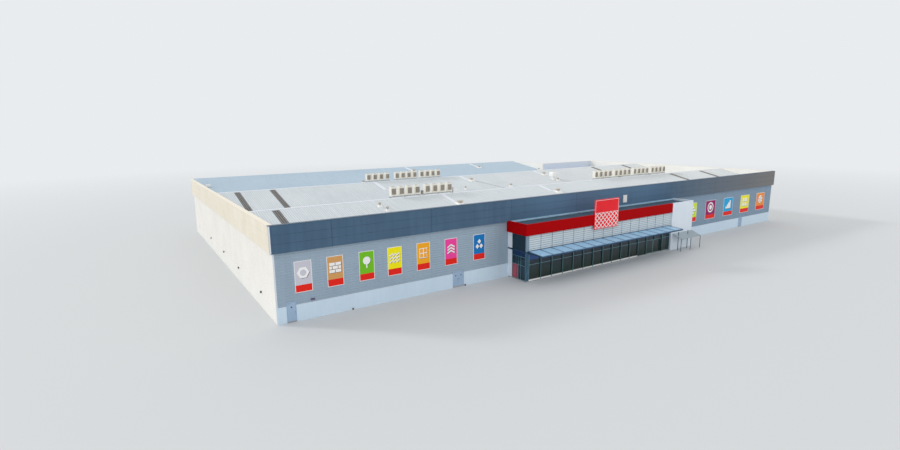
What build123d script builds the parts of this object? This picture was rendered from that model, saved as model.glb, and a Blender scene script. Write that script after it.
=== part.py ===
"""Home improvement store, as a 1:10 scale model of a three-bay retail hall with a glazed entrance.

Lengths are millimetres of the model, so 100 mm here is 1 m on the real building.
Sizes below are measured from the front left ground corner of the hall: X runs to the right along
the entrance front, Y from the front to the back, and Z up from the ground. The finished solids
are placed with the origin on the ground under the middle of the hall.
"""
from build123d import *

import os
from math import cos, pi, sin

# Hall
hall_length = 11756.0
hall_depth = 6990.0
notch_width = 2156.0
notch_depth = 1360.0
parapet_height = 1200.0
floor_thickness = 15.0
wall_thickness = 30.0

# Wall skins
plinth_height = 210.0
plinth_thickness = 5.0
plinth_joint = 1.0
fascia_bottom = 870.0
fascia_thickness = 30.0
fascia_joint = 3.0
side_panel_count = 5
coping_thickness = 5.0
coping_drip = 4.0

# Roof lines, front to back. The ridges are level with the parapet.
ridge_1_y = 1270.0
valley_1_y = 2560.0
ridge_2_y = 3850.0
valley_2_y = 5140.0
valley_drop = 280.0
back_edge_rise = 15.0
roof_thickness = 10.0
ridge_gap = 0.4
roof_eave = 8.0
gutter_width = 60.0
gutter_depth = 40.0
gutter_wall = 2.0
cap_reach = 25.0
cap_thickness = 3.0

# Steel frames
frame_count = 8
first_frame_x = 710.0
last_frame_from_right = 1106.0
column_depth = gutter_width
column_width = 30.0
rafter_depth = 50.0
rafter_width = 24.0
flange = 4.0
web = 4.0

# Roof lights: left edges, some from the hall's left end and some from its right end
light_width = 95.0
light_upstand = 4.0
light_margin = 60.0
front_bay_lights = (325.0,)
front_bay_lights_from_right = (2326.0, 1086.0)
middle_bay_lights = (310.0, 930.0)
middle_bay_lights_from_right = (2076.0, 786.0)

# Wind-driven roof vents: place along X, place along Y, and width of the curb
vents = (
    (3158.0, ridge_1_y - 500.0, 100.0),
    (5429.0, ridge_1_y - 413.0, 96.0),
    (3212.0, ridge_2_y - 610.0, 96.0),
    (5325.0, ridge_2_y - 380.0, 96.0),
    (7610.0, ridge_2_y - 350.0, 96.0),
    (5506.0, hall_depth - 530.0, 96.0),
    (7765.0, hall_depth - 530.0, 96.0),
    (1846.0, ridge_1_y - 276.0, 46.0),
    (1885.0, ridge_1_y - 459.0, 40.0),
    (4809.0, valley_1_y + 407.0, 40.0),
    (6013.0, valley_1_y + 330.0, 60.0),
    (7606.0, valley_1_y + 450.0, 60.0),
    (2880.0, ridge_2_y + 100.0, 50.0),
    (hall_length - notch_width - 100.0, hall_depth - notch_depth + 60.0, 50.0),
)
curb_height = 22.0
skirt_to_curb = 1.5
skirt_thickness = 2.0

# Head of a vent: height of each ring over the curb, and its radius as a share of the curb's width
head_sides = 12
head_rings = ((0.0, 0.3), (8.0, 0.3), (17.0, 0.5), (33.0, 0.5), (42.0, 0.24))

# Extract hood on a square neck
hood_x = 7571.0
hood_y = valley_1_y + 567.0
hood_neck = 95.0
hood_neck_height = 65.0
hood_width = 175.0
hood_depth = 130.0
hood_height = 100.0
hood_chamfer = 20.0

# Flashing strips down the slopes: left edge, upper end, and which vent each one ends at
strip_width = 75.0
strip_thickness = 2.0
strip_gap = 1.0
strips = (
    (3085.0, ridge_1_y - cap_reach - strip_gap, 0),
    (5290.0, ridge_1_y - cap_reach - strip_gap, 1),
    (3040.0, ridge_2_y - cap_reach - strip_gap, 2),
    (5215.0, ridge_2_y - cap_reach - strip_gap, 3),
    (7520.0, ridge_2_y - cap_reach - strip_gap, 4),
    (5468.0, hall_depth - wall_thickness, 5),
    (7727.0, hall_depth - wall_thickness, 6),
)

# Air-conditioning units on the ridges
unit_width = 95.0
unit_depth = 72.0
unit_height = 160.0
unit_pitch = 146.0
unit_panel_margin = 9.0
unit_panel_foot = 26.0
unit_recess = 4.0
unit_foot = 8.0
unit_setback = 90.0
front_unit_groups = (2228.0, 2862.0)
rear_unit_groups = (2960.0, 3630.0, 4250.0)
right_unit_groups_from_right = (4726.0, 4086.0, 3446.0, 2806.0)
units_in_group = 4
rail_size = 8.0
rail_inset = 12.0

# Escape doors: left edge of the doorway, from one end of the hall, its width and its head
door_1_x = 113.0
door_1_width = 117.0
door_1_head = 255.0
door_2_x = 2488.0
door_2_width = 194.0
door_2_head = 240.0
door_3_from_right = 1416.0
door_3_width = 150.0
door_3_head = 225.0
frame_face = 6.0
frame_depth = 12.0
frame_proud = 1.0
leaf_thickness = 5.0
leaf_gap = 1.0
leaf_floor_gap = 2.0
knuckle_radius = 1.6
knuckle_length = 8.0
knuckle_gap = 0.4
strap_length = 10.0
strap_thickness = 1.5
hinge_from_end = 26.0
handle_height = 105.0
handle_from_edge = 12.0
handle_length = 16.0
handle_reach = 6.0
handle_bar = 2.4

# Entrance box
entrance_left = 3520.0
bay_start = 3575.0
bay_pitch = 233.0
bay_count = 15
fixed_bay_count = 12
entrance_depth = 420.0
entrance_height = 885.0
band_bottom = 715.0
band_thickness = 30.0
deck_top = 850.0
deck_thickness = 20.0
panel_bottom = 470.0
panel_thickness = 10.0
panel_joint = 3.0
block_width = 650.0
block_wall = 30.0
pier_width = 100.0
corner_post_depth = 15.0
hall_opening_head = 700.0

# Storefront frames and glass
bar_width = 8.0
bar_depth = 15.0
glass_thickness = 4.0
sill_height = 20.0
sill_depth = 22.0
transom_height = 262.0
side_transom_height = 240.0
side_header_bottom = 372.0
side_header_top = 452.0
side_mullions = (190.0, 245.0, 300.0)
red_side_panels = 2

# Sliding entrance leaves
slide_frame = 8.0
slide_thickness = 5.0
slide_gap = 2.0
slide_overlap = 4.0
slide_meeting_gap = 2.0
track_height = 3.0
track_width = 4.0
track_clearance = 0.4
slide_travel = 215.0
drive_height = 22.0
drive_depth = 16.0

# Glass canopy over the entrance
canopy_left = 3550.0
canopy_pitch = 230.0
canopy_bay_count = 15
canopy_reach = 300.0
canopy_back_height = 470.0
canopy_front_height = 452.0
canopy_glass = 3.0
bracket_width = 8.0
bracket_root = 34.0
bracket_tip = 13.0
edge_beam_width = 10.0
edge_beam_height = 20.0

# Boards on the front
poster_thickness = 4.0
left_poster_bottom = 352.0
left_poster_width = 212.0
left_poster_height = 388.0
left_posters = (233.0, 634.0, 1057.0, 1460.0, 1902.0, 2358.0, 2858.0)
right_poster_bottom = 318.0
right_poster_width = 375.0
right_poster_height = 400.0
right_poster_count = 5
right_poster_from_block = 520.0
right_poster_from_right = 309.0
sign_left = 4935.0
sign_width = 585.0
sign_bottom = 645.0
sign_height = 480.0
sign_thickness = 12.0
sign_post = 10.0
service_box_x = 6174.0
service_box_width = 100.0
service_box_above_deck = 80.0
service_box_height = 135.0
service_box_depth = 12.0

# Trolley shelter against the white block
shelter_left = 7110.0
shelter_width = 620.0
shelter_reach = 190.0
shelter_back_height = 305.0
shelter_front_height = 240.0
shelter_sheet = 4.0
shelter_post = 7.0
shelter_rail = 7.0


def from_right(distances):
    """Places along X that are given from the hall's right end."""
    return tuple(hall_length - distance for distance in distances)


ridge_height = parapet_height
valley_height = parapet_height - valley_drop
back_edge_height = parapet_height + back_edge_rise
notch_x = hall_length - notch_width
notch_y = hall_depth - notch_depth
door_3_x = hall_length - door_3_from_right
frame_pitch = (hall_length - first_frame_x - last_frame_from_right) / (frame_count - 1)
origin_x = hall_length / 2
origin_y = hall_depth / 2
inner_left = wall_thickness
inner_right = hall_length - wall_thickness
door_plane = -plinth_thickness - frame_proud
block_left = bay_start + bay_count * bay_pitch
block_right = block_left + block_width
front_plane = -entrance_depth
band_plane = front_plane - band_thickness
frame_lines = [first_frame_x + frame_pitch * i for i in range(frame_count)]
unit_rows = (
    (ridge_1_y + unit_setback, front_unit_groups),
    (ridge_2_y + unit_setback, rear_unit_groups),
    (ridge_1_y + unit_setback, from_right(right_unit_groups_from_right)),
)
front_lights = front_bay_lights + from_right(front_bay_lights_from_right)
middle_lights = middle_bay_lights + from_right(middle_bay_lights_from_right)
doorways = (
    (door_1_x, door_1_width, door_1_head),
    (door_2_x, door_2_width, door_2_head),
    (door_3_x, door_3_width, door_3_head),
)

# Each slope of the roof: low or high edge at its front, then at its back
slopes = (
    (wall_thickness + gutter_width, valley_height, ridge_1_y, ridge_height),
    (ridge_1_y, ridge_height, valley_1_y - gutter_width / 2, valley_height),
    (valley_1_y + gutter_width / 2, valley_height, ridge_2_y, ridge_height),
    (ridge_2_y, ridge_height, valley_2_y - gutter_width / 2, valley_height),
    (valley_2_y + gutter_width / 2, valley_height, hall_depth, back_edge_height),
)


def block(x0, x1, y0, y1, z0, z1):
    """A box between two planes on each axis."""
    middle = Pos((x0 + x1) / 2 - origin_x, (y0 + y1) / 2 - origin_y, (z0 + z1) / 2)
    return middle * Box(x1 - x0, y1 - y0, z1 - z0)


def along_x(outline, x0, x1):
    """A prism whose outline is given as (y, z) corners."""
    corners = [(x0 - origin_x, y - origin_y, z) for y, z in outline]
    return extrude(make_face(Polyline(*corners, close=True)), amount=x1 - x0, dir=(1, 0, 0))


def along_y(outline, y0, y1):
    """A prism whose outline is given as (x, z) corners."""
    corners = [(x - origin_x, y0 - origin_y, z) for x, z in outline]
    return extrude(make_face(Polyline(*corners, close=True)), amount=y1 - y0, dir=(0, 1, 0))


def along_z(outline, z0, z1):
    """A prism whose outline is given as (x, y) corners."""
    corners = [(x - origin_x, y - origin_y, z0) for x, y in outline]
    return extrude(make_face(Polyline(*corners, close=True)), amount=z1 - z0, dir=(0, 0, 1))


def post(x, y, z0, z1, radius):
    """An upright cylinder."""
    return Pos(x - origin_x, y - origin_y, (z0 + z1) / 2) * Cylinder(radius, z1 - z0)


def save(name, *shapes):
    solids = [solid for shape in shapes for solid in shape.solids()]
    export_step(Compound(solids), f"parts/{name}.step")


def on_slope(slope, y):
    """Height of the roof's upper face at y, on one slope or on its line carried on."""
    y0, z0, y1, z1 = slope
    return z0 + (z1 - z0) * (y - y0) / (y1 - y0)


def slope_at(y):
    return next(slope for slope in slopes if slope[0] <= y <= slope[2])


def slope_outline(slope, y0, y1, top, bottom):
    """A strip along a slope, between two distances below the roof's upper face."""
    return [
        (y0, on_slope(slope, y0) - bottom),
        (y1, on_slope(slope, y1) - bottom),
        (y1, on_slope(slope, y1) - top),
        (y0, on_slope(slope, y0) - top),
    ]


def floors():
    save("floor_main", block(0, notch_x, 0, hall_depth, 0, floor_thickness))
    save("floor_extensions",
         block(notch_x, hall_length, 0, notch_y, 0, floor_thickness),
         block(entrance_left, block_right, front_plane, 0, 0, floor_thickness))


def front_openings():
    """The doorways and the wide entrance opening, from left to right, as x0, x1 and head."""
    entrance = (bay_start, block_left, hall_opening_head)
    doors = [(x, x + width, head) for x, width, head in doorways]
    return sorted(doors + [entrance])


def between_openings(start, end, openings):
    """Stretches of a front that the openings leave."""
    edges = [start] + [edge for x0, x1, *_ in openings for edge in (x0, x1)] + [end]
    return list(zip(edges[::2], edges[1::2]))


def front_wall():
    openings = front_openings()
    stretches = between_openings(0, hall_length, openings)
    save("front_wall", *[block(x0, x1, 0, wall_thickness, floor_thickness, parapet_height)
                         for x0, x1 in stretches])
    save("front_lintels", *[block(x0, x1, 0, wall_thickness, head, parapet_height)
                            for x0, x1, head in openings])


def other_walls():
    wall_z = (floor_thickness, parapet_height)
    save("side_walls",
         block(0, wall_thickness, wall_thickness, hall_depth, *wall_z),
         block(inner_right, hall_length, wall_thickness, notch_y, *wall_z),
         block(notch_x - wall_thickness, notch_x, notch_y - wall_thickness, hall_depth, *wall_z))
    inner_y = hall_depth - wall_thickness
    last = slopes[-1]
    back_outline = [
        (inner_y, floor_thickness),
        (hall_depth, floor_thickness),
        (hall_depth, on_slope(last, hall_depth) - roof_thickness),
        (inner_y, on_slope(last, inner_y) - roof_thickness),
    ]
    save("back_walls",
         along_x(back_outline, wall_thickness, notch_x - wall_thickness),
         block(notch_x, inner_right, notch_y - wall_thickness, notch_y, *wall_z))


def plinths():
    """The smooth white band at the foot of every wall."""
    out = plinth_thickness
    doors = [(x, x + width) for x, width, _ in doorways]
    covered = sorted(doors + [(entrance_left, block_right)])
    save("front_plinth", *[block(x0, x1, -out, 0, 0, plinth_height)
                           for x0, x1 in between_openings(-out, hall_length + out, covered)])
    gap = plinth_joint
    save("other_plinths",
         block(-out, 0, 0, hall_depth - gap, 0, plinth_height),
         block(hall_length, hall_length + out, 0, notch_y - gap, 0, plinth_height),
         block(notch_x, notch_x + out, notch_y + out + gap, hall_depth - gap, 0, plinth_height),
         block(-out, notch_x + out, hall_depth, hall_depth + out, 0, plinth_height),
         block(notch_x, hall_length + out, notch_y, notch_y + out, 0, plinth_height))


def panels_along(start, end, count):
    """Equal panels with an open joint between them."""
    pitch = (end - start) / count
    return [(start + i * pitch + (fascia_joint / 2 if i else 0),
             start + (i + 1) * pitch - (fascia_joint / 2 if i < count - 1 else 0))
            for i in range(count)]


def fascias():
    """The proud cladding band below the parapet, in panels that end on the frame lines."""
    out = fascia_thickness
    fascia_z = (fascia_bottom, parapet_height)
    edges = [-out] + frame_lines + [hall_length + out]
    gap = fascia_joint / 2
    front = [block(x0 + (gap if x0 > 0 else 0), x1 - (gap if x1 < hall_length else 0), -out, 0, *fascia_z)
             for x0, x1 in zip(edges, edges[1:])]
    save("front_fascia", *front)
    gap = fascia_joint
    left = [block(-out, 0, y0, y1, *fascia_z)
            for y0, y1 in panels_along(0, hall_depth - gap, side_panel_count)]
    right = [block(hall_length, hall_length + out, y0, y1, *fascia_z)
             for y0, y1 in panels_along(0, notch_y - gap, side_panel_count - 1)]
    back = [block(x0, x1, hall_depth, hall_depth + out, *fascia_z)
            for x0, x1 in panels_along(-out, notch_x + out, frame_count - 1)]
    save("other_fascias", *left, *right, *back,
         block(notch_x, notch_x + out, notch_y + out + gap, hall_depth - gap, *fascia_z),
         block(notch_x, hall_length + out, notch_y, notch_y + out, *fascia_z))


def copings():
    """Metal caps over the parapets, with a drip beyond the outer face."""
    out = fascia_thickness + coping_drip
    gap = fascia_joint
    coping_z = (parapet_height, parapet_height + coping_thickness)
    save("parapet_copings",
         block(-out, hall_length + out, -out, wall_thickness, *coping_z),
         block(-out, wall_thickness, wall_thickness + gap, hall_depth + fascia_thickness, *coping_z),
         block(inner_right, hall_length + out, wall_thickness + gap, notch_y + out, *coping_z),
         block(notch_x - wall_thickness, notch_x + out, notch_y + out + gap,
               hall_depth + fascia_thickness, *coping_z),
         block(notch_x - wall_thickness, inner_right - gap, notch_y - wall_thickness,
               notch_y + out, *coping_z))


def light_holes(slope, lefts, top, bottom):
    y0, _, y1, _ = slope
    return [along_x(slope_outline(slope, y0 + light_margin, y1 - light_margin, top, bottom),
                    x, x + light_width) for x in lefts]


def roof():
    """Five sloping decks, with the roof lights cut through and filled by their own sheets."""
    lights_of = {0: front_lights, 2: middle_lights}
    decks, sheets = [], []
    for number, slope in enumerate(slopes):
        y0, _, y1, _ = slope
        last = slope is slopes[-1]
        low = y0 + ridge_gap if number % 2 else y0
        high = hall_depth + fascia_thickness + roof_eave if last else y1
        right = notch_x - wall_thickness if last else inner_right
        deck = along_x(slope_outline(slope, low, high, 0, roof_thickness), inner_left, right)
        lefts = lights_of.get(number, ())
        if lefts:
            deck = deck - light_holes(slope, lefts, 0, roof_thickness)
            sheets += light_holes(slope, lefts, -light_upstand, roof_thickness)
        decks.append(deck)
    corner = slope_outline(slopes[-1], slopes[-1][0], notch_y - wall_thickness, 0, roof_thickness)
    decks.append(along_x(corner, notch_x - wall_thickness + ridge_gap, inner_right))
    save("roof_decks", *decks)
    save("roof_lights", *sheets)


def ridge_caps():
    """Folded caps on the two ridges, and the pale strips that run down to the vents."""
    clear = inner_left + coping_drip
    far = inner_right - coping_drip
    caps = []
    for front, rear in ((slopes[0], slopes[1]), (slopes[2], slopes[3])):
        ridge = rear[0]
        low, high = ridge - cap_reach, ridge + cap_reach
        outline = [
            (low, on_slope(front, low)),
            (ridge, on_slope(front, ridge)),
            (high, on_slope(rear, high)),
            (high, on_slope(rear, high) + cap_thickness),
            (ridge, on_slope(rear, ridge) + cap_thickness),
            (low, on_slope(front, low) + cap_thickness),
        ]
        caps.append(along_x(outline, clear, far))
    runs = []
    for x, high, number in strips:
        _, vent_y, vent_width = vents[number]
        low = vent_y + vent_width * skirt_to_curb / 2 + strip_gap
        outline = slope_outline(slope_at(low), low, high, -strip_thickness, 0)
        runs.append(along_x(outline, x, x + strip_width))
    save("roof_flashings", *caps, *runs)


def gutters():
    """Box gutters behind the front parapet and in both valleys."""
    w = gutter_wall
    troughs = []
    for start in (wall_thickness, valley_1_y - gutter_width / 2, valley_2_y - gutter_width / 2):
        end = start + gutter_width
        top, bottom = valley_height, valley_height - gutter_depth
        outline = [
            (start, bottom), (end, bottom), (end, top), (end - w, top),
            (end - w, bottom + w), (start + w, bottom + w), (start + w, top), (start, top),
        ]
        troughs.append(along_x(outline, inner_left, inner_right))
    save("roof_gutters", *troughs)


def column(x, y, top):
    """A rolled H column whose flanges face the front and the back. y is its front face."""
    half = column_width / 2
    y1 = y + column_depth
    outline = [
        (x - half, y), (x + half, y), (x + half, y + flange), (x + web / 2, y + flange),
        (x + web / 2, y1 - flange), (x + half, y1 - flange), (x + half, y1), (x - half, y1),
        (x - half, y1 - flange), (x - web / 2, y1 - flange), (x - web / 2, y + flange),
        (x - half, y + flange),
    ]
    return along_z(outline, floor_thickness, top)


def columns():
    under_gutter = valley_height - gutter_depth
    last = slopes[-1]
    shafts = []
    for x in frame_lines:
        back = (hall_depth if x < notch_x else notch_y) - wall_thickness - column_depth
        for y in (wall_thickness, valley_1_y - gutter_width / 2, valley_2_y - gutter_width / 2):
            shafts.append(column(x, y, under_gutter))
        shafts.append(column(x, back, on_slope(last, back) - roof_thickness))
    save("steel_columns", *shafts)


def rafter(slope, x, y0, y1):
    """A rolled I rafter under one slope, with upright end cuts."""
    top = roof_thickness
    bottom = roof_thickness + rafter_depth
    half = rafter_width / 2
    upper = along_x(slope_outline(slope, y0, y1, top, top + flange), x - half, x + half)
    lower = along_x(slope_outline(slope, y0, y1, bottom - flange, bottom), x - half, x + half)
    middle = along_x(slope_outline(slope, y0, y1, top + flange, bottom - flange), x - web / 2, x + web / 2)
    return upper + middle + lower


def rafters():
    members = []
    for x in frame_lines:
        for number, slope in enumerate(slopes):
            y0, _, y1, _ = slope
            low = y0 + ridge_gap if number % 2 else y0
            if slope is slopes[-1]:
                y1 = (hall_depth if x < notch_x else notch_y) - wall_thickness - column_depth
            members.append(rafter(slope, x, low, y1))
    save("roof_rafters", *members)


def curb(x, y, width, height):
    """A square curb with a flat skirt, both cut to the slope under them, and the height of its top."""
    slope = slope_at(y)
    half = width / 2
    reach = half * skirt_to_curb
    top = on_slope(slope, y) + height
    sides = [
        (y - half, on_slope(slope, y - half)), (y + half, on_slope(slope, y + half)),
        (y + half, top), (y - half, top),
    ]
    skirt = along_x(slope_outline(slope, y - reach, y + reach, -skirt_thickness, 0), x - reach, x + reach)
    return skirt + along_x(sides, x - half, x + half), top


def vent_head(x, y, z, width):
    """The head of a vent: rings of one shape at several heights, closed by flat sides."""
    turns = [2 * pi * (i + 0.5) / head_sides for i in range(head_sides)]
    rings = [[(share * width * cos(turn), share * width * sin(turn), height) for turn in turns]
             for height, share in head_rings]
    outlines = [rings[0], rings[-1]]
    for low, high in zip(rings, rings[1:]):
        outlines += [(low[i - 1], low[i], high[i], high[i - 1]) for i in range(head_sides)]
    faces = [Face(Wire.make_polygon(outline)) for outline in outlines]
    return Pos(x - origin_x, y - origin_y, z) * Solid(Shell(faces))


def hood():
    """A square neck that carries a wider hood with chamfered upper edges."""
    neck, z0 = curb(hood_x, hood_y, hood_neck, hood_neck_height)
    x0, x1 = hood_x - hood_width / 2, hood_x + hood_width / 2
    z1 = z0 + hood_height
    c = hood_chamfer
    outline = [(x0, z0), (x1, z0), (x1, z1 - c), (x1 - c, z1), (x0 + c, z1), (x0, z1 - c)]
    return neck + along_y(outline, hood_y - hood_depth / 2, hood_y + hood_depth / 2)


def roof_vents():
    curbs, heads = [], []
    for x, y, width in vents:
        base, top = curb(x, y, width, curb_height)
        curbs.append(base)
        heads.append(vent_head(x, y, top, width))
    save("vent_curbs", *curbs, hood())
    save("vent_cowls", *heads)


def cabinet(x, y, z):
    """One outdoor unit: a steel case with a recessed coil face to the front and two feet."""
    case = block(x, x + unit_width, y, y + unit_depth, z + unit_foot, z + unit_height)
    m = unit_panel_margin
    case = case - block(x + m, x + unit_width - m, y, y + unit_recess,
                        z + unit_foot + unit_panel_foot, z + unit_height - m)
    for foot in (x + m, x + unit_width - 2 * m):
        case = case + block(foot, foot + m, y, y + unit_depth, z, z + unit_foot)
    return case


def unit_platform(x0, x1, y, z):
    """Two rails on short legs that stand on the slope behind the ridge."""
    slope = slope_at(y)
    parts = []
    for front in (y + rail_inset, y + unit_depth - rail_inset - rail_size):
        parts.append(block(x0, x1, front, front + rail_size, z - rail_size, z))
        for x in (x0, (x0 + x1 - rail_size) / 2, x1 - rail_size):
            outline = [
                (front, on_slope(slope, front)),
                (front + rail_size, on_slope(slope, front + rail_size)),
                (front + rail_size, z - rail_size), (front, z - rail_size),
            ]
            parts.append(along_x(outline, x, x + rail_size))
    for x in (x0, x1 - rail_size):
        parts.append(block(x, x + rail_size, y + rail_inset, y + unit_depth - rail_inset,
                           z - rail_size, z))
    whole = parts[0]
    for piece in parts[1:]:
        whole = whole + piece
    return whole


def air_units():
    cabinets, platforms = [], []
    base = ridge_height + rail_size
    group_length = (units_in_group - 1) * unit_pitch + unit_width
    for y, groups in unit_rows:
        for start in groups:
            cabinets += [cabinet(start + i * unit_pitch, y, base) for i in range(units_in_group)]
            platforms.append(unit_platform(start - rail_size, start + group_length + rail_size, y, base))
    save("air_units", *cabinets)
    save("unit_platforms", *platforms)


def hinge_heights(head):
    return (floor_thickness + hinge_from_end, head - hinge_from_end)


def door_frames():
    """Steel jambs and heads. Each jamb carries the lower knuckle of each lift-off hinge."""
    y0 = door_plane
    y1 = door_plane + frame_depth
    axis_y = door_plane - knuckle_radius
    jambs, heads = [], []
    for (x, width, head), is_double in zip(doorways, (False, True, False)):
        under = head - frame_face
        for side, hinged in ((-1, True), (1, is_double)):
            outer = x if side < 0 else x + width
            inner = outer - side * frame_face
            jamb = block(min(outer, inner), max(outer, inner), y0, y1, floor_thickness, under)
            if hinged:
                axis_x = inner - side * leaf_gap / 2
                for z in hinge_heights(head):
                    high = z - knuckle_length / 2 - knuckle_gap
                    low = high - knuckle_length
                    plate = block(min(axis_x, outer), max(axis_x, outer), y0 - strap_thickness, y0, low, high)
                    jamb = jamb + plate + post(axis_x, axis_y, low, high, knuckle_radius)
            jambs.append(jamb)
        heads.append(block(x, x + width, y0, y1, under, head))
    save("door_jambs", *jambs)
    save("door_heads", *heads)


def door_leaf(x0, x1, head, hinge_side):
    """A steel leaf that fills x0 to x1, hinged at its left (-1) or right (1) edge."""
    y0 = door_plane + frame_proud
    y1 = y0 + leaf_thickness
    low = floor_thickness + leaf_floor_gap
    high = head - frame_face - leaf_gap
    leaf = block(x0, x1, y0, y1, low, high)
    edge = x0 if hinge_side < 0 else x1
    axis_x = edge + hinge_side * leaf_gap / 2
    axis_y = door_plane - knuckle_radius
    strap_end = edge - hinge_side * strap_length
    for z in hinge_heights(head):
        z0, z1 = z - knuckle_length / 2, z + knuckle_length / 2
        strap = block(min(axis_x, strap_end), max(axis_x, strap_end), y0 - strap_thickness - frame_proud,
                      y0, z0, z1)
        leaf = leaf + strap + post(axis_x, axis_y, z0, z1, knuckle_radius)
    handle_edge = x1 - handle_from_edge - handle_bar if hinge_side < 0 else x0 + handle_from_edge
    z0 = handle_height - handle_length / 2
    for z in (z0, z0 + handle_length - handle_bar):
        leaf = leaf + block(handle_edge, handle_edge + handle_bar, y0 - handle_reach, y0, z, z + handle_bar)
    return leaf + block(handle_edge, handle_edge + handle_bar, y0 - handle_reach,
                        y0 - handle_reach + handle_bar, z0, z0 + handle_length)


def escape_doors():
    inset = frame_face + leaf_gap
    save("door_1_leaf", door_leaf(door_1_x + inset, door_1_x + door_1_width - inset, door_1_head, -1))
    save("door_3_leaf", door_leaf(door_3_x + inset, door_3_x + door_3_width - inset, door_3_head, -1))
    middle = door_2_x + door_2_width / 2
    save("door_2_left_leaf", door_leaf(door_2_x + inset, middle - leaf_gap / 2, door_2_head, -1))
    save("door_2_right_leaf",
         door_leaf(middle + leaf_gap / 2, door_2_x + door_2_width - inset, door_2_head, 1))


def cells(lines_a, lines_b):
    """Clear openings between bars that stand on two sets of lines."""
    half = bar_width / 2
    return [(a0 + half, a1 - half, b0 + half, b1 - half)
            for a0, a1 in zip(lines_a, lines_a[1:])
            for b0, b1 in zip(lines_b, lines_b[1:])]


def lattice(x_lines, z_lines, y0, y1):
    """A flat frame parallel to the front, made by cutting the openings out of a plate."""
    half = bar_width / 2
    plate = block(x_lines[0] - half, x_lines[-1] + half, y0, y1, z_lines[0] - half, z_lines[-1] + half)
    return plate - [block(x0, x1, y0, y1, z0, z1) for x0, x1, z0, z1 in cells(x_lines, z_lines)]


def bay_lines(first, last):
    """Centre lines of the mullions, kept inside the two ends of the storefront."""
    half = bar_width / 2
    lines = [bay_start + bay_pitch * i for i in range(first, last + 1)]
    lines[0] = max(lines[0], bay_start + half)
    lines[-1] = min(lines[-1], block_left - half)
    return lines


def door_span():
    """Outer edges of the two closed sliding leaves."""
    left = bay_start + bay_pitch * fixed_bay_count
    inset = bar_width / 2 - slide_overlap
    return left + inset, left + 2 * bay_pitch - inset


def storefront():
    """Aluminium frames and glass of the entrance front, with the bays of the sliding doors."""
    half = bar_width / 2
    y0, y1 = front_plane, front_plane + bar_depth
    low = floor_thickness + half
    z_lines = [low, transom_height, panel_bottom - half]
    fixed = bay_lines(0, fixed_bay_count)
    fixed_right = bay_lines(fixed_bay_count + 2, bay_count)
    over = [fixed[-1] + bar_width, bay_start + bay_pitch * (fixed_bay_count + 1), fixed_right[0] - bar_width]
    door_head = lattice(over, z_lines[1:], y0, y1)
    drive_low = transom_height - half + slide_overlap + track_clearance
    span_left, span_right = door_span()
    run = (span_left - slide_travel, span_right + slide_travel)
    drive = block(*run, y1, y1 + drive_depth, drive_low, drive_low + drive_height)
    leaf_middle = y1 + slide_gap + slide_thickness / 2
    track = block(*run, leaf_middle - track_width / 2, leaf_middle + track_width / 2,
                  floor_thickness, floor_thickness + track_height)
    save("entrance_door_gear", door_head + drive, track)
    middle = (y0 + y1) / 2
    pane_y = (middle - glass_thickness / 2, middle + glass_thickness / 2)
    openings = cells(fixed, z_lines) + cells(fixed_right, z_lines) + cells(over, z_lines[1:])
    side_lattice, side_panes = side_glazing()
    save("entrance_frames", lattice(fixed, z_lines, y0, y1), lattice(fixed_right, z_lines, y0, y1),
         side_lattice)
    save("entrance_glass", *[block(a0, a1, *pane_y, z0, z1) for a0, a1, z0, z1 in openings], *side_panes)
    sill_end = bay_start + bay_pitch * (fixed_bay_count - 1)
    save("storefront_sill",
         block(bay_start, sill_end, y0 - sill_depth + bar_depth, y0, floor_thickness,
               floor_thickness + sill_height))


def slide_leaf(x0, x1):
    """Frame and pane of one sliding leaf, hung behind the fixed bays."""
    y0 = front_plane + bar_depth + slide_gap
    y1 = y0 + slide_thickness
    low = floor_thickness + track_height + track_clearance
    high = transom_height - bar_width / 2 + slide_overlap
    s = slide_frame
    frame = block(x0, x1, y0, y1, low, high) - block(x0 + s, x1 - s, y0, y1, low + s, high - s)
    middle = (y0 + y1) / 2
    pane = block(x0 + s, x1 - s, middle - glass_thickness / 4, middle + glass_thickness / 4,
                 low + s, high - s)
    return frame, pane


def entrance_doors():
    left, right = door_span()
    middle = (left + right) / 2
    for name, x0, x1 in (("left", left, middle - slide_meeting_gap / 2),
                         ("right", middle + slide_meeting_gap / 2, right)):
        frame, pane = slide_leaf(x0, x1)
        save(f"entrance_{name}_leaf", frame)
        save(f"entrance_{name}_pane", pane)


def clear_of_fascia(shape):
    """Cuts away what would run into the proud cladding band of the hall."""
    return shape - block(entrance_left - band_thickness, block_right, -fascia_thickness, 0,
                         fascia_bottom, parapet_height)


def entrance_box():
    """Deck, red band, ribbed white panels, white block, pier and corner post."""
    under = deck_top - deck_thickness
    save("entrance_deck", block(entrance_left, block_right - block_wall, front_plane, 0, under, deck_top))
    band_z = (band_bottom, entrance_height)
    save("red_band",
         block(entrance_left - band_thickness, block_left, band_plane, front_plane, *band_z),
         clear_of_fascia(block(entrance_left - band_thickness, entrance_left,
                               front_plane + ridge_gap, 0, *band_z)))
    panels = []
    for i in range(bay_count):
        x0 = bay_start + i * bay_pitch + (panel_joint / 2 if i else 0)
        x1 = bay_start + (i + 1) * bay_pitch - (panel_joint / 2 if i < bay_count - 1 else 0)
        panels.append(block(x0, x1, front_plane, front_plane + panel_thickness, panel_bottom, under))
    save("white_panels", *panels)
    save("block_front_wall", block(block_left, block_right, band_plane, front_plane, 0, entrance_height))
    save("entrance_side_walls",
         block(entrance_left, bay_start, -pier_width, 0, floor_thickness, under),
         block(block_left, block_left + block_wall, front_plane, 0, floor_thickness, under),
         clear_of_fascia(block(block_right - block_wall, block_right, front_plane, 0,
                               floor_thickness, entrance_height)))
    save("corner_post", block(entrance_left, bay_start, front_plane, front_plane + corner_post_depth,
                              floor_thickness, under))


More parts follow.
